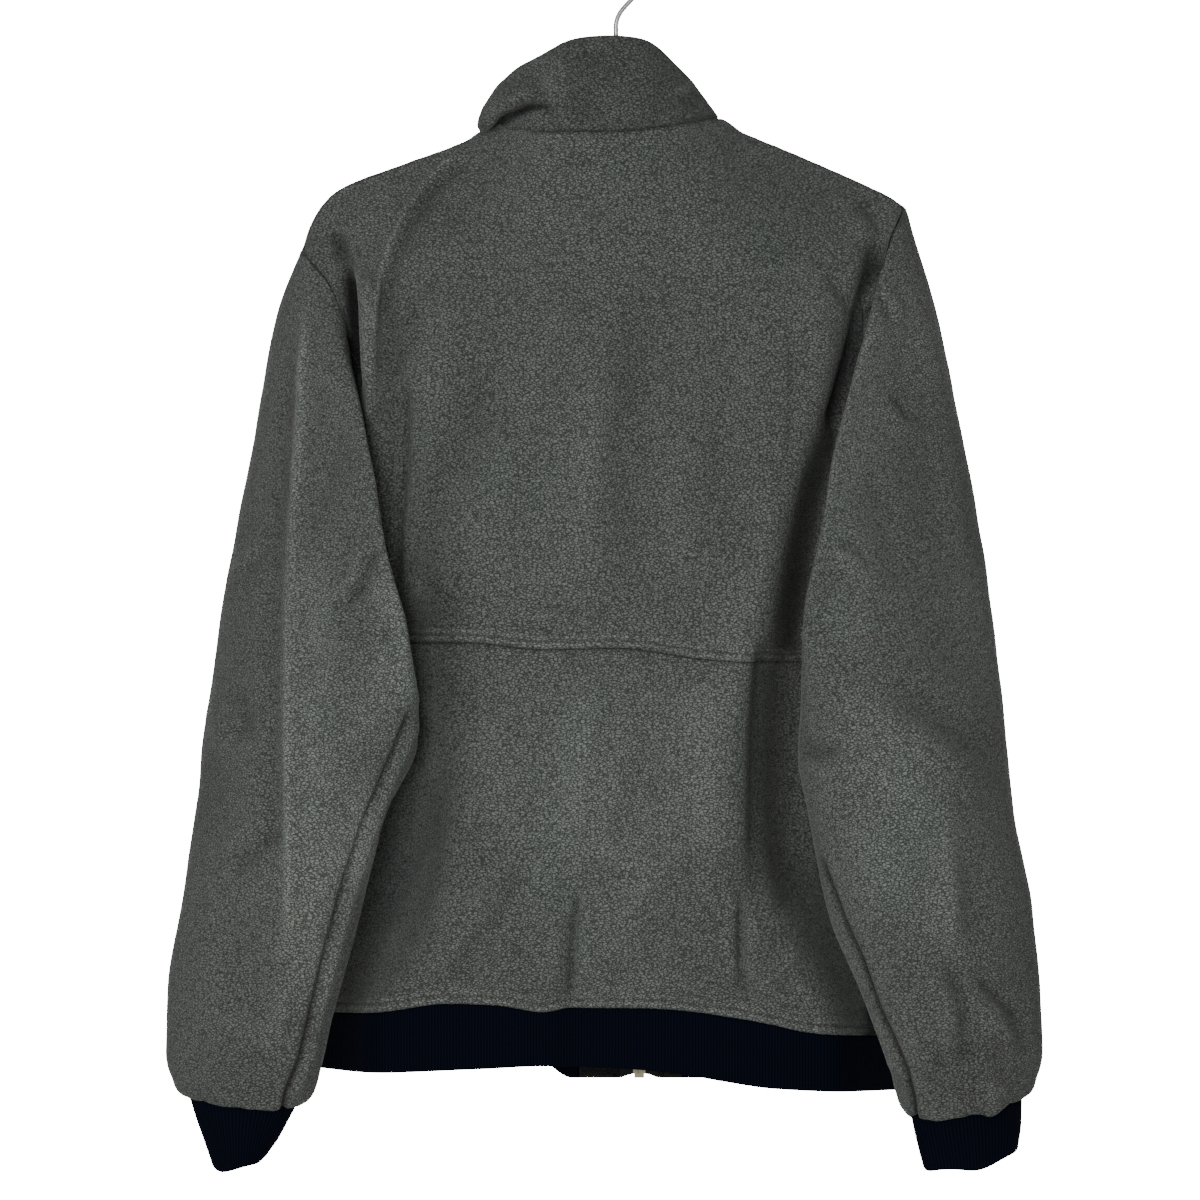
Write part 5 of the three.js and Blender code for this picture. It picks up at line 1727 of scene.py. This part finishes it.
def scatter(shape: tuple[Array, Array], places: Array, axes: Array) -> tuple[Array, Array]:
    """Copy a small body to many places.

    Args:
        shape: Its points and faces.
        places: Where, one point each.
        axes: Its three axes at each place.

    Returns:
        All points and faces.
    """
    points, quads = shape
    placed = np.einsum("pk,mkc->mpc", points, axes) + places[:, None, :]
    shifted = quads[None] + np.arange(len(places))[:, None, None] * len(points)
    return placed.reshape(-1, 3), shifted.reshape(-1, 4)


def frames_along(tangents: Array, up: Array) -> Array:
    """Make axes from directions along and up.

    Args:
        tangents: Directions along.
        up: Directions up, roughly square to them.

    Returns:
        Unit axes along, sideways and up, one set each.
    """
    along = tangents / np.linalg.norm(tangents, axis=-1, keepdims=True)
    side = np.cross(up, along)
    side /= np.linalg.norm(side, axis=-1, keepdims=True)
    return np.stack([along, side, np.cross(along, side)], 1)


def resample(points: Array, values: Array, pitch: float) -> tuple[Array, Array, Array]:
    """Walk a polyline in even steps.

    Args:
        points: The polyline.
        values: Vectors carried along it.
        pitch: Length of a step.

    Returns:
        Points, directions and carried vectors.
    """
    run = np.concatenate([[0], np.cumsum(np.linalg.norm(np.diff(points, axis=0), axis=1))])
    at = np.arange(pitch, run[-1] - pitch / 2, pitch)

    def read(data: Array, where: Array) -> Array:
        """Read vectors at lengths along the line."""
        return np.stack([np.interp(where, run, data[:, k]) for k in range(3)], 1)

    return read(points, at), read(points, at + 0.5) - read(points, at - 0.5), read(values, at)


@dataclass(frozen=True)
class StitchSizes:
    """A line of machine stitches, in millimetres."""

    pitch: float = 3.3
    length: float = 2.5
    width: float = 0.62
    height: float = 0.4
    sink: float = 0.12
    square: float = 0.8


class Stitches:
    """Topstitches along the edges of the cloth pieces, collected into one piece."""

    def __init__(self, sizes: StitchSizes) -> None:
        """Start with no stitches.

        Args:
            sizes: Stitch sizes.
        """
        self.sizes = sizes
        half = (sizes.length / 2, sizes.width / 2, sizes.height / 2)
        self.shape = blob(half, 6, 5, sizes.square)
        self.parts: list[tuple[Array, Array]] = []

    def along(self, shell: Shell) -> None:
        """Stitch along every topstitched edge of a piece.

        Args:
            shell: The piece.
        """
        outer, _ = shell.faces()
        for edge, work in shell.spec.sewing.items():
            if not work.stitch:
                continue
            away = shell.distance(edge)
            axis = 0 if edge in (Edge.TOP, Edge.BOTTOM) else 1
            order = slice(None, None, -1) if edge in (Edge.BOTTOM, Edge.END) else slice(None)
            flip = (order, slice(None)) if axis == 0 else (slice(None), order)
            away, skin, normals = away[flip], outer[flip], shell.normals[flip]
            after = np.clip((away < work.stitch).sum(axis), 1, away.shape[axis] - 1)
            lines = np.arange(len(after))
            near, far = ((row, lines) if axis == 0 else (lines, row) for row in (after - 1, after))
            share = ((work.stitch - away[near]) / np.maximum(away[far] - away[near], 1e-6))[:, None]
            path = mix(skin[near], skin[far], np.clip(share, 0, 1))
            places, ways, up = resample(path, normals[near], self.sizes.pitch)
            up /= np.linalg.norm(up, axis=1, keepdims=True)
            places = places + up * (self.sizes.height / 2 - self.sizes.sink)
            self.parts.append(scatter(self.shape, places, frames_along(ways, up)))

    def build(self, material: Material) -> None:
        """Make the stitches' object.

        Args:
            material: The thread.
        """
        counts = np.cumsum([0, *(len(points) for points, _ in self.parts)])
        points = np.concatenate([points for points, _ in self.parts])
        quads = np.concatenate([q + start for (_, q), start in zip(self.parts, counts)])
        obj = mesh_object("stitches", points * MM, quads)
        obj.data.materials.append(material)
        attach(obj, "jacket")
        log.info("stitches: %d points", len(points))


@dataclass(frozen=True)
class ZipSizes:
    """Sizes of the zip, in millimetres."""

    edge: float = 4.5
    tape_inner: float = 0.6
    tape_under: float = 10.0
    gap: float = 0.6
    pitch: float = 3.0
    tooth: Triple = (0.85, 1.9, 1.0)
    tooth_square: float = 0.45
    offset: float = 1.0
    forward: float = 0.4
    box_height: float = 8.3
    step_columns: int = 4


class Zip:
    """The zip: tapes behind the front edges and teeth between them."""

    def __init__(self, sizes: ZipSizes, shells: dict[str, Shell]) -> None:
        """Find the zip's line from the pieces it closes.

        Args:
            sizes: Zip sizes.
            shells: Every cloth piece, by name.
        """
        self.s = sizes
        self.lines = {side: self._line(shells, side) for side in Side}

    def _line(self, shells: dict[str, Shell], side: Side) -> tuple[Array, Array, Array]:
        """Follow one edge from the collar's top to the foot of the tab.

        Args:
            shells: Every cloth piece, by name.
            side: Which side.

        Returns:
            Edge points, unit steps from them across the cloth, and how far behind the tape lies.
        """
        names = ("collar", f"front_{side.value}", f"hem_tab_{side.value}")
        collar, front, tab = (shells[f"{name}_cloth"] for name in names)
        first, inwards = side.pick((0, 1), (-1, -1))
        second, last = first + inwards * self.s.step_columns, -1 - self.s.step_columns
        runs = [
            (collar, collar.points[::-1, first], collar.points[::-1, second]),
            (front, front.points[2:-2, -1], front.points[2:-2, last]),
            (tab, tab.points[:, -1], tab.points[:, last]),
        ]
        edge = np.concatenate([e for _, e, _ in runs])
        step = np.concatenate([b - a for _, a, b in runs])
        step /= np.linalg.norm(step, axis=1, keepdims=True)
        half = np.concatenate([np.full(len(e), c.spec.thickness / 2) for c, e, _ in runs])
        return edge, step, (half + self.s.gap) / np.abs(step[:, 0])

    def tape(self, spec: ClothSpec, side: Side) -> Shell:
        """Make a tape, from the teeth to behind the cloth's edge and on under the cloth.

        Args:
            spec: What the piece is.
            side: Which side.

        Returns:
            The piece.
        """
        edge, step, behind = self.lines[side]
        way = side.pick(1, -1)
        under = edge - vec(0, behind + TAPE_THICK / 2, 0)
        reach = np.linspace(way * (self.s.edge - self.s.tape_inner), 0, 4)
        inner = reach[None, :, None] * np.array([1.0, 0, 0])
        outer = np.linspace(0, self.s.tape_under, 7)[1:][None, :, None] * step[:, None, :]
        return Shell(spec, under[:, None, :] + np.concatenate([inner + 0 * outer[:, :4], outer], axis=1))

    def teeth(self, material: Material) -> None:
        """Make the two meshed rows of teeth.

        Args:
            material: Their finish.
        """
        middle = (self.lines[Side.LEFT][0] + self.lines[Side.RIGHT][0]) / 2
        line = middle + np.array([0, self.s.forward, 0])
        line = line[line[:, 2] > line[-1, 2] + self.s.box_height]
        places, ways, up = resample(line, 0 * line + np.array([0, 1.0, 0]), self.s.pitch / 2)
        turns = np.where(np.arange(len(places)) % 2 == 0, 1, -1)[:, None]
        axes = frames_along(ways, up)
        tooth = blob(self.s.tooth, 8, 6, self.s.tooth_square)
        parts = scatter(tooth, places + axes[:, 1] * turns * self.s.offset, axes)
        obj = mesh_object("teeth_rows", parts[0] * MM, parts[1])
        obj.data.materials.append(material)
        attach(obj, "jacket")
        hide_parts("zip_teeth")
        log.info("teeth: %d", len(places))


@dataclass(frozen=True)
class HangerSizes:
    """Sizes of the hanger, in millimetres."""

    half: float = 194.0
    clearance: float = 5.6
    tip_clearance: float = 7.4
    height: float = 26.0
    thickness: float = 11.0
    crest: float = -118.0
    crest_half: float = 30.0
    crest_slope: float = 75.0
    taper: float = 0.6
    wire: float = 1.8
    radius: float = 17.8
    socket: float = 17.7
    turn: float = 1.12
    stem_top: float = 36.0
    stem_bend: float = 20.0
    hook_bend: float = 18.0
    end: float = 10.0
    end_thin: float = 0.0004
    tip_steps: tuple[float, ...] = (0.5, 0.85, 1.0)
    tip_radii: tuple[float, ...] = (0.866, 0.527, 0.05)


class Hanger:
    """A contoured bar under the shoulders, and a wire hook."""

    def __init__(self, sizes: HangerSizes) -> None:
        """Keep the sizes."""
        self.s = sizes

    def bar(self, material: Material) -> None:
        """Make the bar: ellipses along the shoulder line, rounded off at the ends.

        Args:
            material: Its finish.
        """
        s = self.s
        share = np.sin(np.linspace(-np.pi / 2, np.pi / 2, 121))
        x = share * s.half
        shoulder = TOP_LINE.read("x", x)["z"]
        ease = smooth((np.abs(x) - s.crest_half) / s.crest_slope)
        below = mix(s.clearance, s.tip_clearance, share**4)
        middle = vec(x, 0, mix(s.crest, shoulder - below, ease) - s.height / 2)
        taper = mix(1, s.taper, np.abs(share))
        ends = np.sqrt(np.clip(1 - ((np.abs(x) - s.half + s.end) / s.end).clip(0) ** 2, s.end_thin, 1))
        angle = np.linspace(0, 2 * np.pi, 40, endpoint=False)
        size = (taper * ends)[:, None]
        lift = ((1 - taper) * s.taper * s.height / 2)[:, None]
        ring = vec(0, np.cos(angle) * s.thickness / 2 * size, np.sin(angle) * s.height / 2 * size + lift)
        self._loft("hanger_body", middle[:, None, :] + ring, material, "hanger_bar")

    def hook(self, material: Material) -> None:
        """Make the hook: a stem, a bend to one side and a turn over the rail.

        Args:
            material: Its finish.
        """
        s = self.s
        centre = s.wire - s.radius
        stem = vec(0, 0, np.linspace(s.crest - s.socket, centre - s.stem_top, 12))
        t = np.linspace(0, 1, 24)[1:, None]
        ends = [
            np.array([0, 0, centre - s.stem_top]), np.array([0, 0, centre - s.stem_bend]),
            np.array([s.radius, 0, centre - s.hook_bend]), np.array([s.radius, 0, centre]),
        ]
        bend = sum(math.comb(3, k) * (1 - t) ** (3 - k) * t**k * p for k, p in enumerate(ends))
        angle = np.linspace(0, s.turn * np.pi, 60)[1:]
        turn = vec(s.radius * np.cos(angle), 0, centre + s.radius * np.sin(angle))
        path = np.concatenate([stem, bend, turn])
        tangents = np.gradient(path, axis=0)
        onward = tangents[-1] / np.linalg.norm(tangents[-1]) * s.wire
        radius = np.concatenate([np.full(len(path), 1.0), s.tip_radii]) * s.wire
        path = np.concatenate([path, path[-1] + onward * np.array(s.tip_steps)[:, None]])
        axes = frames_along(np.gradient(path, axis=0), 0 * path + np.array([0, 1.0, 0]))
        around = np.linspace(0, 2 * np.pi, 20, endpoint=False)[None, :, None]
        ring = np.cos(around) * axes[:, None, 1] + np.sin(around) * axes[:, None, 2]
        rings = path[:, None, :] + ring * radius[:, None, None]
        self._loft("hook_wire", rings, material, "hanger_hook")

    def _loft(self, name: str, rings: Array, material: Material, node: str) -> None:
        """Make a solid through rings, closed at both ends.

        Args:
            name: Piece name.
            rings: Rings of points, in millimetres.
            material: Its finish.
            node: The solid it stands for.
        """
        count, sides, _ = rings.shape
        quads = body_quads(count, sides)
        obj = mesh_object(name, rings.reshape(-1, 3) * MM, quads)
        obj.data.materials.append(material)
        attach(obj, "jacket")
        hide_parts(node)
        log.info("%s: %d faces", name, len(quads))


# ---------------------------------------------------------------- the garment


NECK_SEAM = Sewing(valley=2.0, pucker=0.35, shade=0.3)
ARM_SEAM = Sewing(stitch=6.5, band=0.9, groove=0.7, pucker=0.4, valley=1.8, shade=0.25, light=0.42)
PLAIN_SEAM = Sewing(valley=1.8, pucker=0.3, shade=0.4)
LAP_SEAM = Sewing(stitch=6.0, band=1.3, groove=0.7, pucker=0.45, valley=1.2, shade=0.2, light=0.36)
UNDER_LAP = Sewing(stitch=0.0, pucker=0.3, valley=1.4, shade=0.25)
HEM_SEAM = Sewing(stitch=6.5, band=1.1, groove=0.7, pucker=0.6, valley=1.6, light=0.36)
ZIP_SEAM = Sewing(stitch=5.0, band=0.3, groove=0.4, valley=1.2)
FOLDED = Sewing(valley=2.4)


@dataclass(frozen=True)
class GridSizes:
    """How many rows or columns the pieces have, and how finely they pack towards their ends."""

    back_columns: Spread = (240, 0.45)
    upper_back_rows: Spread = (176, 0.4)
    lower_back_rows: Spread = (120, 0.5)
    front_columns: Spread = (80, 0.6)
    upper_front_rows: Spread = (90, 0.5)
    lower_front_rows: Spread = (50, 0.3)
    tube_columns: int = 160
    sleeve_rows: Spread = (220, 0.6)
    cuff_rows: Spread = (34, 0.5)
    tab_columns: Spread = (24, 0.5)
    tab_rows: Spread = (26, 0.4)
    collar_rows: Spread = (60, 0.5)
    collar_quarter: int = 70
    hem_front_columns: Spread = (110, 0.3)
    hem_back_columns: Spread = (240, 0.3)
    hem_rows: Spread = (24, 0.5)


@dataclass(frozen=True)
class GarmentSizes:
    """How the pieces are held and sag, in millimetres; a dip is its middle, width and depth."""

    even_rounds: int = 60
    even_reach: float = 45.0
    back_hold: float = 3.5
    sleeve_hold: float = 6.0
    bag_reach: float = 6.0
    bag_out: float = 4.0
    left_bag: float = 5.0
    right_bag: float = 7.0
    left_cuff_lift: float = 4.5
    right_cuff_lift: float = 2.5
    cuff_lift_reach: float = 24.0
    left_cuff_dip: Triple = (-279.0, 12.0, 2.0)
    right_cuff_dip: Triple = (259.0, 17.0, 6.0)
    cuff_dip_reach: float = 26.0
    tab_round: float = 3.0
    tab_round_up: float = 12.0
    tab_round_in: float = 10.0
    # Painted shade on the hem tabs, which lie in the rib's shadow.
    tab_shade: float = 0.6
    collar_sag: float = 7.0
    collar_sag_from: float = -80.0
    collar_sag_ease: float = 16.0
    collar_dips: tuple[Triple, ...] = ((-52.0, 13.0, 4.0), (38.0, 11.0, 4.5))
    collar_dips_from: float = -125.0
    collar_dips_ease: float = 40.0
    # Painted shade on the collar, which tilts away from the light.
    collar_shade: float = 0.22


class Jacket:
    """The garment: every cloth piece on its solid's form, with its folds, seams and stitches."""

    def __init__(self, form: Form, finishes: Finishes) -> None:
        """Make the cloth pieces.

        Args:
            form: The jacket's form.
            finishes: The materials.
        """
        self.form, self.finishes = form, finishes
        self.s, self.grid = GarmentSizes(), GridSizes()
        self.shells: dict[str, Shell] = {}
        self._backs()
        for side in Side:
            self._front(side)
            self._sleeve(side)
            self._cuff(side)
            self._tab(side)
        self._collar()
        self._hem()

    def _add(self, spec: ClothSpec, points: Array) -> Shell:
        """Start a piece from what it is and its middle points."""
        self.shells[spec.name] = Shell(spec, points)
        return self.shells[spec.name]

    def _settle(
        self, shell: Shell, creases: Iterable[Crease], amount: float, seed: int,
        mask: Array | float = 1.0, hold: Array | float = 1.0,
    ) -> None:
        """Lay creases with their painted light and shade, a soft unevenness and the seams on a piece.

        Args:
            shell: The piece.
            creases: Its creases.
            amount: Height of the unevenness.
            seed: Seed of the unevenness.
            mask: Where the creases show.
            hold: Share of their depth, which fades where a seam holds the cloth.
        """
        x, z = shell.points[..., 0], shell.points[..., 2]
        relief, tone = crease_relief(creases, x, z)
        shell.relief += relief * mask * hold
        shell.tone += tone * mask
        coarse, fine = DRAPE.wave_sizes
        soft = undulation(x, z * 0.6, coarse, seed) + 0.5 * undulation(x, z * 0.7, fine, seed + 1)
        edges = np.min([shell.distance(e) for e in shell.open_edges()], axis=0)
        shell.relief += amount * soft * smooth(edges / DRAPE.wave_start)
        shell.sew()

    def _backs(self) -> None:
        """Make the upper and lower back."""
        form, grid = self.form.s, self.grid
        waist, hem = form.waist_row, form.hem_row
        starts = graded(*form.shoulder_ends, *grid.back_columns)
        upper = self._add(ClothSpec(
            "back_upper_cloth", "back_upper", "fleece", FLEECE_THICK, (0.46, 0.41), 0.165, outward=-1,
            sewing={Edge.TOP: PLAIN_SEAM, Edge.START: ARM_SEAM, Edge.END: ARM_SEAM, Edge.BOTTOM: LAP_SEAM},
        ), self.form.back(0, waist, graded(0, waist, *grid.upper_back_rows), starts))
        upper.soften(self.s.even_rounds, self.s.even_reach)
        held = np.minimum(upper.distance(Edge.START), upper.distance(Edge.END))
        self._settle(upper, BACK_CREASES, 0.9, 3, hold=smooth(held / self.s.back_hold))
        lower = self._add(ClothSpec(
            "back_lower_cloth", "back_lower", "fleece", FLEECE_THICK, (0.47, 0.28), 0.13, outward=-1,
            sewing={Edge.TOP: UNDER_LAP, Edge.START: PLAIN_SEAM, Edge.END: PLAIN_SEAM, Edge.BOTTOM: HEM_SEAM},
        ), self.form.back(waist, hem, graded(waist, hem, *grid.lower_back_rows), starts))
        self._settle(lower, BACK_CREASES, 0.8, 5)

    def _front(self, side: Side) -> None:
        """Make a front.

        Args:
            side: Which side.
        """
        form, grid = self.form.s, self.grid
        zip_edge = float(self.form.zip_edge(side, self.form.front_neck))
        starts = graded(side.pick(*form.shoulder_ends), zip_edge, *grid.front_columns)
        upper = graded(0, form.waist_row, *grid.upper_front_rows)
        lower = graded(form.waist_row, form.hem_row, *grid.lower_front_rows)
        shell = self._add(ClothSpec(
            f"front_{side.value}_cloth", f"front_{side.value}", "fleece", FLEECE_THICK, (0.26, 0.67), 0.14,
            outward=side.pick(1, -1),
            sewing={Edge.TOP: PLAIN_SEAM, Edge.START: PLAIN_SEAM, Edge.END: ZIP_SEAM, Edge.BOTTOM: HEM_SEAM},
        ), self.form.front(side, np.concatenate([upper, lower[1:]]), starts))
        self._settle(shell, FRONT_CREASES, 0.8, side.pick(7, 9))

    def _sleeve(self, side: Side) -> None:
        """Make a sleeve.

        Args:
            side: Which side.
        """
        s, grid = self.s, self.grid
        around = np.linspace(0, 1, grid.tube_columns, endpoint=False)
        shell = self._add(ClothSpec(
            f"sleeve_{side.value}_cloth", f"sleeve_{side.value}", "fleece", FLEECE_THICK, (0.46, 0.63), 0.21,
            outward=side.pick(-1, 1), closed=True,
            sewing={Edge.TOP: replace(PLAIN_SEAM, pucker=0.5), Edge.BOTTOM: replace(PLAIN_SEAM, pucker=0.8)},
        ), self.form.sleeve(side, graded(0, 1, *grid.sleeve_rows), around))
        hold = smooth(shell.distance(Edge.TOP) / s.sleeve_hold)
        folds = side.pick(LEFT_SLEEVE_CREASES, RIGHT_SLEEVE_CREASES)
        self._settle(shell, folds, 1.0, side.pick(13, 17), shell.facing_back(), hold)
        shell.blouse(s.bag_reach, s.bag_out, side.pick(s.left_bag, s.right_bag))

    def _cuff(self, side: Side) -> None:
        """Make a cuff.

        Args:
            side: Which side.
        """
        s, grid = self.s, self.grid
        around = np.linspace(0, 1, grid.tube_columns, endpoint=False)
        shell = self._add(ClothSpec(
            f"cuff_{side.value}_cloth", f"cuff_{side.value}", "rib", RIB_THICK, (0.17, 0.05), 0.0085,
            outward=side.pick(-1, 1), closed=True, ribs=72,
            sewing={Edge.TOP: PLAIN_SEAM, Edge.BOTTOM: FOLDED},
        ), self.form.cuff(side, graded(0, 1, *grid.cuff_rows), around))
        shell.round_foot(side.pick(s.left_cuff_lift, s.right_cuff_lift), s.cuff_lift_reach)
        middle, width, depth = side.pick(s.left_cuff_dip, s.right_cuff_dip)
        dip = depth * bell(shell.points[..., 0] - middle, width)
        shell.points[..., 2] -= dip * (1 - smooth(shell.distance(Edge.BOTTOM) / s.cuff_dip_reach))
        self._settle(shell, (), 0.8, 19)

    def _tab(self, side: Side) -> None:
        """Make a hem tab beside the zip.

        Args:
            side: Which side.
        """
        s, form, grid = self.s, self.form.s, self.grid
        zip_edge = float(self.form.zip_edge(side, self.form.front_neck))
        starts = graded(side.pick(*form.tab_start), zip_edge, *grid.tab_columns)
        starts = np.concatenate([[side.pick(*form.shoulder_ends)], starts])
        seam = self.form.front(side, np.array([form.hem_row]), starts)[0, 1:]
        flat, area = side.pick(((0.04, 0.045), 0.0017), ((0.028, 0.045), 0.0012))
        shell = self._add(ClothSpec(
            f"hem_tab_{side.value}_cloth", f"hem_tab_{side.value}", "fleece", DOUBLED_THICK, flat, area,
            outward=side.pick(1, -1),
            sewing={Edge.TOP: PLAIN_SEAM, Edge.START: PLAIN_SEAM, Edge.END: ZIP_SEAM, Edge.BOTTOM: FOLDED},
        ), self.form.rib(seam, graded(0, 1, *grid.tab_rows)))
        low = 1 - smooth(shell.distance(Edge.BOTTOM) / s.tab_round_up)
        beside = 1 - smooth(shell.distance(Edge.END) / s.tab_round_in)
        shell.points[..., 2] += s.tab_round * low * beside
        self._settle(shell, (), 0.2, 23)
        # Painted shade: the tabs lie in the rib's shadow.
        shell.tone -= s.tab_shade

    def _collar(self) -> None:
        """Make the collar, whose roll sags on to the left shoulder and whose colour is painted darker, as
        shade.
        """
        s, grid = self.s, self.grid
        shell = self._add(ClothSpec(
            "collar_cloth", "collar", "fleece", DOUBLED_THICK, (0.44, 0.07), 0.029,
            sewing={Edge.BOTTOM: FOLDED, Edge.TOP: NECK_SEAM, Edge.START: ZIP_SEAM, Edge.END: ZIP_SEAM},
        ), self.form.collar(graded(0, 1, *grid.collar_rows), grid.collar_quarter))
        self._settle(shell, COLLAR_CREASES, 0.6, 29, shell.facing_back())
        # Painted shade over the whole collar.
        shell.tone -= s.collar_shade
        x, z = shell.points[..., 0], shell.points[..., 2]
        drop = s.collar_sag * smooth((s.collar_sag_from - x) / s.collar_sag_ease)
        for middle, width, depth in s.collar_dips:
            high = smooth((z - s.collar_dips_from) / s.collar_dips_ease)
            drop += depth * bell(x - middle, width) * high
        shell.points[..., 2] -= drop

    def _hem(self) -> None:
        """Make the rib hem, from tab to tab round the back."""
        form, s, grid = self.form, self.form.s, self.grid
        hem = np.array([s.hem_row])
        low, high = s.shoulder_ends
        left = form.front(Side.LEFT, hem, graded(low, s.tab_start[0], *grid.hem_front_columns))[0, ::-1]
        back = form.back(s.waist_row, s.hem_row, hem, graded(low, high, *grid.hem_back_columns))[0]
        right = form.front(Side.RIGHT, hem, graded(high, s.tab_start[1], *grid.hem_front_columns))[0]
        shell = self._add(ClothSpec(
            "hem_rib_cloth", "hem_rib", "rib", RIB_THICK, (0.86, 0.046), 0.038, outward=-1, ribs=400,
            sewing={Edge.TOP: PLAIN_SEAM, Edge.START: PLAIN_SEAM, Edge.END: PLAIN_SEAM, Edge.BOTTOM: FOLDED},
        ), form.rib(np.concatenate([left, back[1:-1], right]), graded(0, 1, *grid.hem_rows)))
        self._settle(shell, (), 0.5, 31)

    def build(self) -> None:
        """Make every piece's object, the stitches and the zip."""
        stitches = Stitches(StitchSizes())
        zipper = Zip(ZipSizes(), self.shells)
        for shell in self.shells.values():
            shell.build(self.finishes.get(FLEECE if shell.spec.slot == "fleece" else RIB))
            stitches.along(shell)
        for side in Side:
            spec = ClothSpec(
                f"tape_{side.value}", f"zip_tape_{side.value}", "tape", TAPE_THICK, (0.015, 0.70), 0.0103,
                outward=side.pick(-1, 1),
            )
            zipper.tape(spec, side).build(self.finishes.get(TAPE))
        zipper.teeth(self.finishes.get(TEETH))
        stitches.build(self.finishes.get(THREAD))


def dress_nodes(finishes: Finishes) -> None:
    """Give the zip's hard ends their finish and small rounded edges.

    Args:
        finishes: The materials.
    """
    for node, finish in (("zip_box", BOX), ("zip_slider", NICKEL), ("zip_pull", NICKEL)):
        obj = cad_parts[node]
        obj.data.materials.clear()
        obj.data.materials.append(finishes.get(finish))
        bevel = obj.modifiers.new("rounded", "BEVEL")
        bevel.width, bevel.segments, bevel.limit_method = ZIP_BEVEL, 2, "ANGLE"
        log.info("%s: finished", node)


# ---------------------------------------------------------------- studio


@dataclass(frozen=True)
class StudioSizes:
    """The camera, the floor and the lights, in metres and watts.

    Attributes:
        lights: Name, place, side length and power of each.
        ambient: The surround's strength as it lights the jacket.
        white: Its strength as the camera sees it.
    """

    camera: Triple = (-0.0115, -8.0, -0.4646)
    view_width: float = 0.864
    sensor: float = 36.0
    clip_end: float = 100.0
    floor: float = -1.12
    floor_radius: float = 3.0
    floor_sides: int = 64
    floor_pale: Triple = (0.78, 0.78, 0.77)
    floor_paler: Triple = (0.82, 0.82, 0.81)
    floor_roughness: float = 0.9
    lights: tuple[tuple[str, Triple, float, float], ...] = (
        ("key", (-1.0, -3.8, -0.8), 1.6, 112.0),
        ("side", (2.6, -2.6, 0.2), 1.8, 6.0),
        ("fill", (0.8, 3.6, -0.2), 1.8, 55.0),
    )
    ambient: float = 0.42
    white: float = 20.0


class Studio:
    """A pale floor, a white surround, soft lights and the camera."""

    def __init__(self, sizes: StudioSizes) -> None:
        """Keep the sizes."""
        self.s = sizes

    def build(self) -> None:
        """Make the studio."""
        self._world()
        self._floor()
        for light in self.s.lights:
            self._light(*light)
        camera = bpy.data.cameras.new("camera")
        camera.sensor_width = self.s.sensor
        camera.lens = self.s.sensor * abs(self.s.camera[1]) / self.s.view_width
        camera.clip_end = self.s.clip_end
        obj = bpy.data.objects.new("camera", camera)
        obj.location = self.s.camera
        obj.rotation_euler = (math.pi / 2, 0, 0)
        bpy.context.scene.collection.objects.link(obj)
        bpy.context.scene.camera = obj

    def _world(self) -> None:
        """Make the surround: white to the camera, dim to the lights' reckoning."""
        world = bpy.data.worlds.new("surround")
        world.use_nodes = True
        bpy.context.scene.world = world
        n = Nodes(world.node_tree)
        seen = n.add("ShaderNodeLightPath").outputs["Is Camera Ray"]
        strength = n.math("MULTIPLY_ADD", seen, self.s.white - self.s.ambient, self.s.ambient)
        n.drive("Strength", strength)
        n.shader.inputs["Color"].default_value = (1, 1, 1, 1)

    def _floor(self) -> None:
        """Make the pale floor, a disc below the camera's view."""
        s = self.s
        angle = np.linspace(0, 2 * np.pi, s.floor_sides, endpoint=False)
        points = vec(s.floor_radius * np.cos(angle), s.floor_radius * np.sin(angle), s.floor)
        floor = mesh_object("floor", points, cap_quads(s.floor_sides))
        material = bpy.data.materials.new("floor")
        material.use_nodes = True
        n = Nodes(material.node_tree)
        n.shader.inputs["Roughness"].default_value = s.floor_roughness
        pale = n.blend(n.noise(n.place(), 3.0, 2.0), (*s.floor_pale, 1), (*s.floor_paler, 1))
        n.drive("Base Color", pale)
        floor.data.materials.append(material)

    def _light(self, name: str, place: Triple, size: float, power: float) -> None:
        """Make a soft light that faces the jacket.

        Args:
            name: Its name.
            place: Where it stands.
            size: Its side length.
            power: Its power.
        """
        light = bpy.data.lights.new(name, "AREA")
        light.shape, light.size, light.energy = "SQUARE", size, power
        obj = bpy.data.objects.new(name, light)
        obj.location = place
        aim = Vector((self.s.camera[0], 0, self.s.camera[2])) - obj.location
        obj.rotation_euler = aim.to_track_quat("-Z", "Y").to_euler()
        obj.visible_camera = False
        bpy.context.scene.collection.objects.link(obj)


def main() -> None:
    """Build the jacket, its hanger and the studio."""
    logging.basicConfig(level=logging.INFO, format="%(name)s: %(message)s")
    finishes = Finishes()
    Jacket(Form(FormSizes()), finishes).build()
    hanger = Hanger(HangerSizes())
    hanger.bar(finishes.get(WOOD))
    hanger.hook(finishes.get(STEEL))
    dress_nodes(finishes)
    Studio(StudioSizes()).build()


if __name__ == "__main__":
    main()
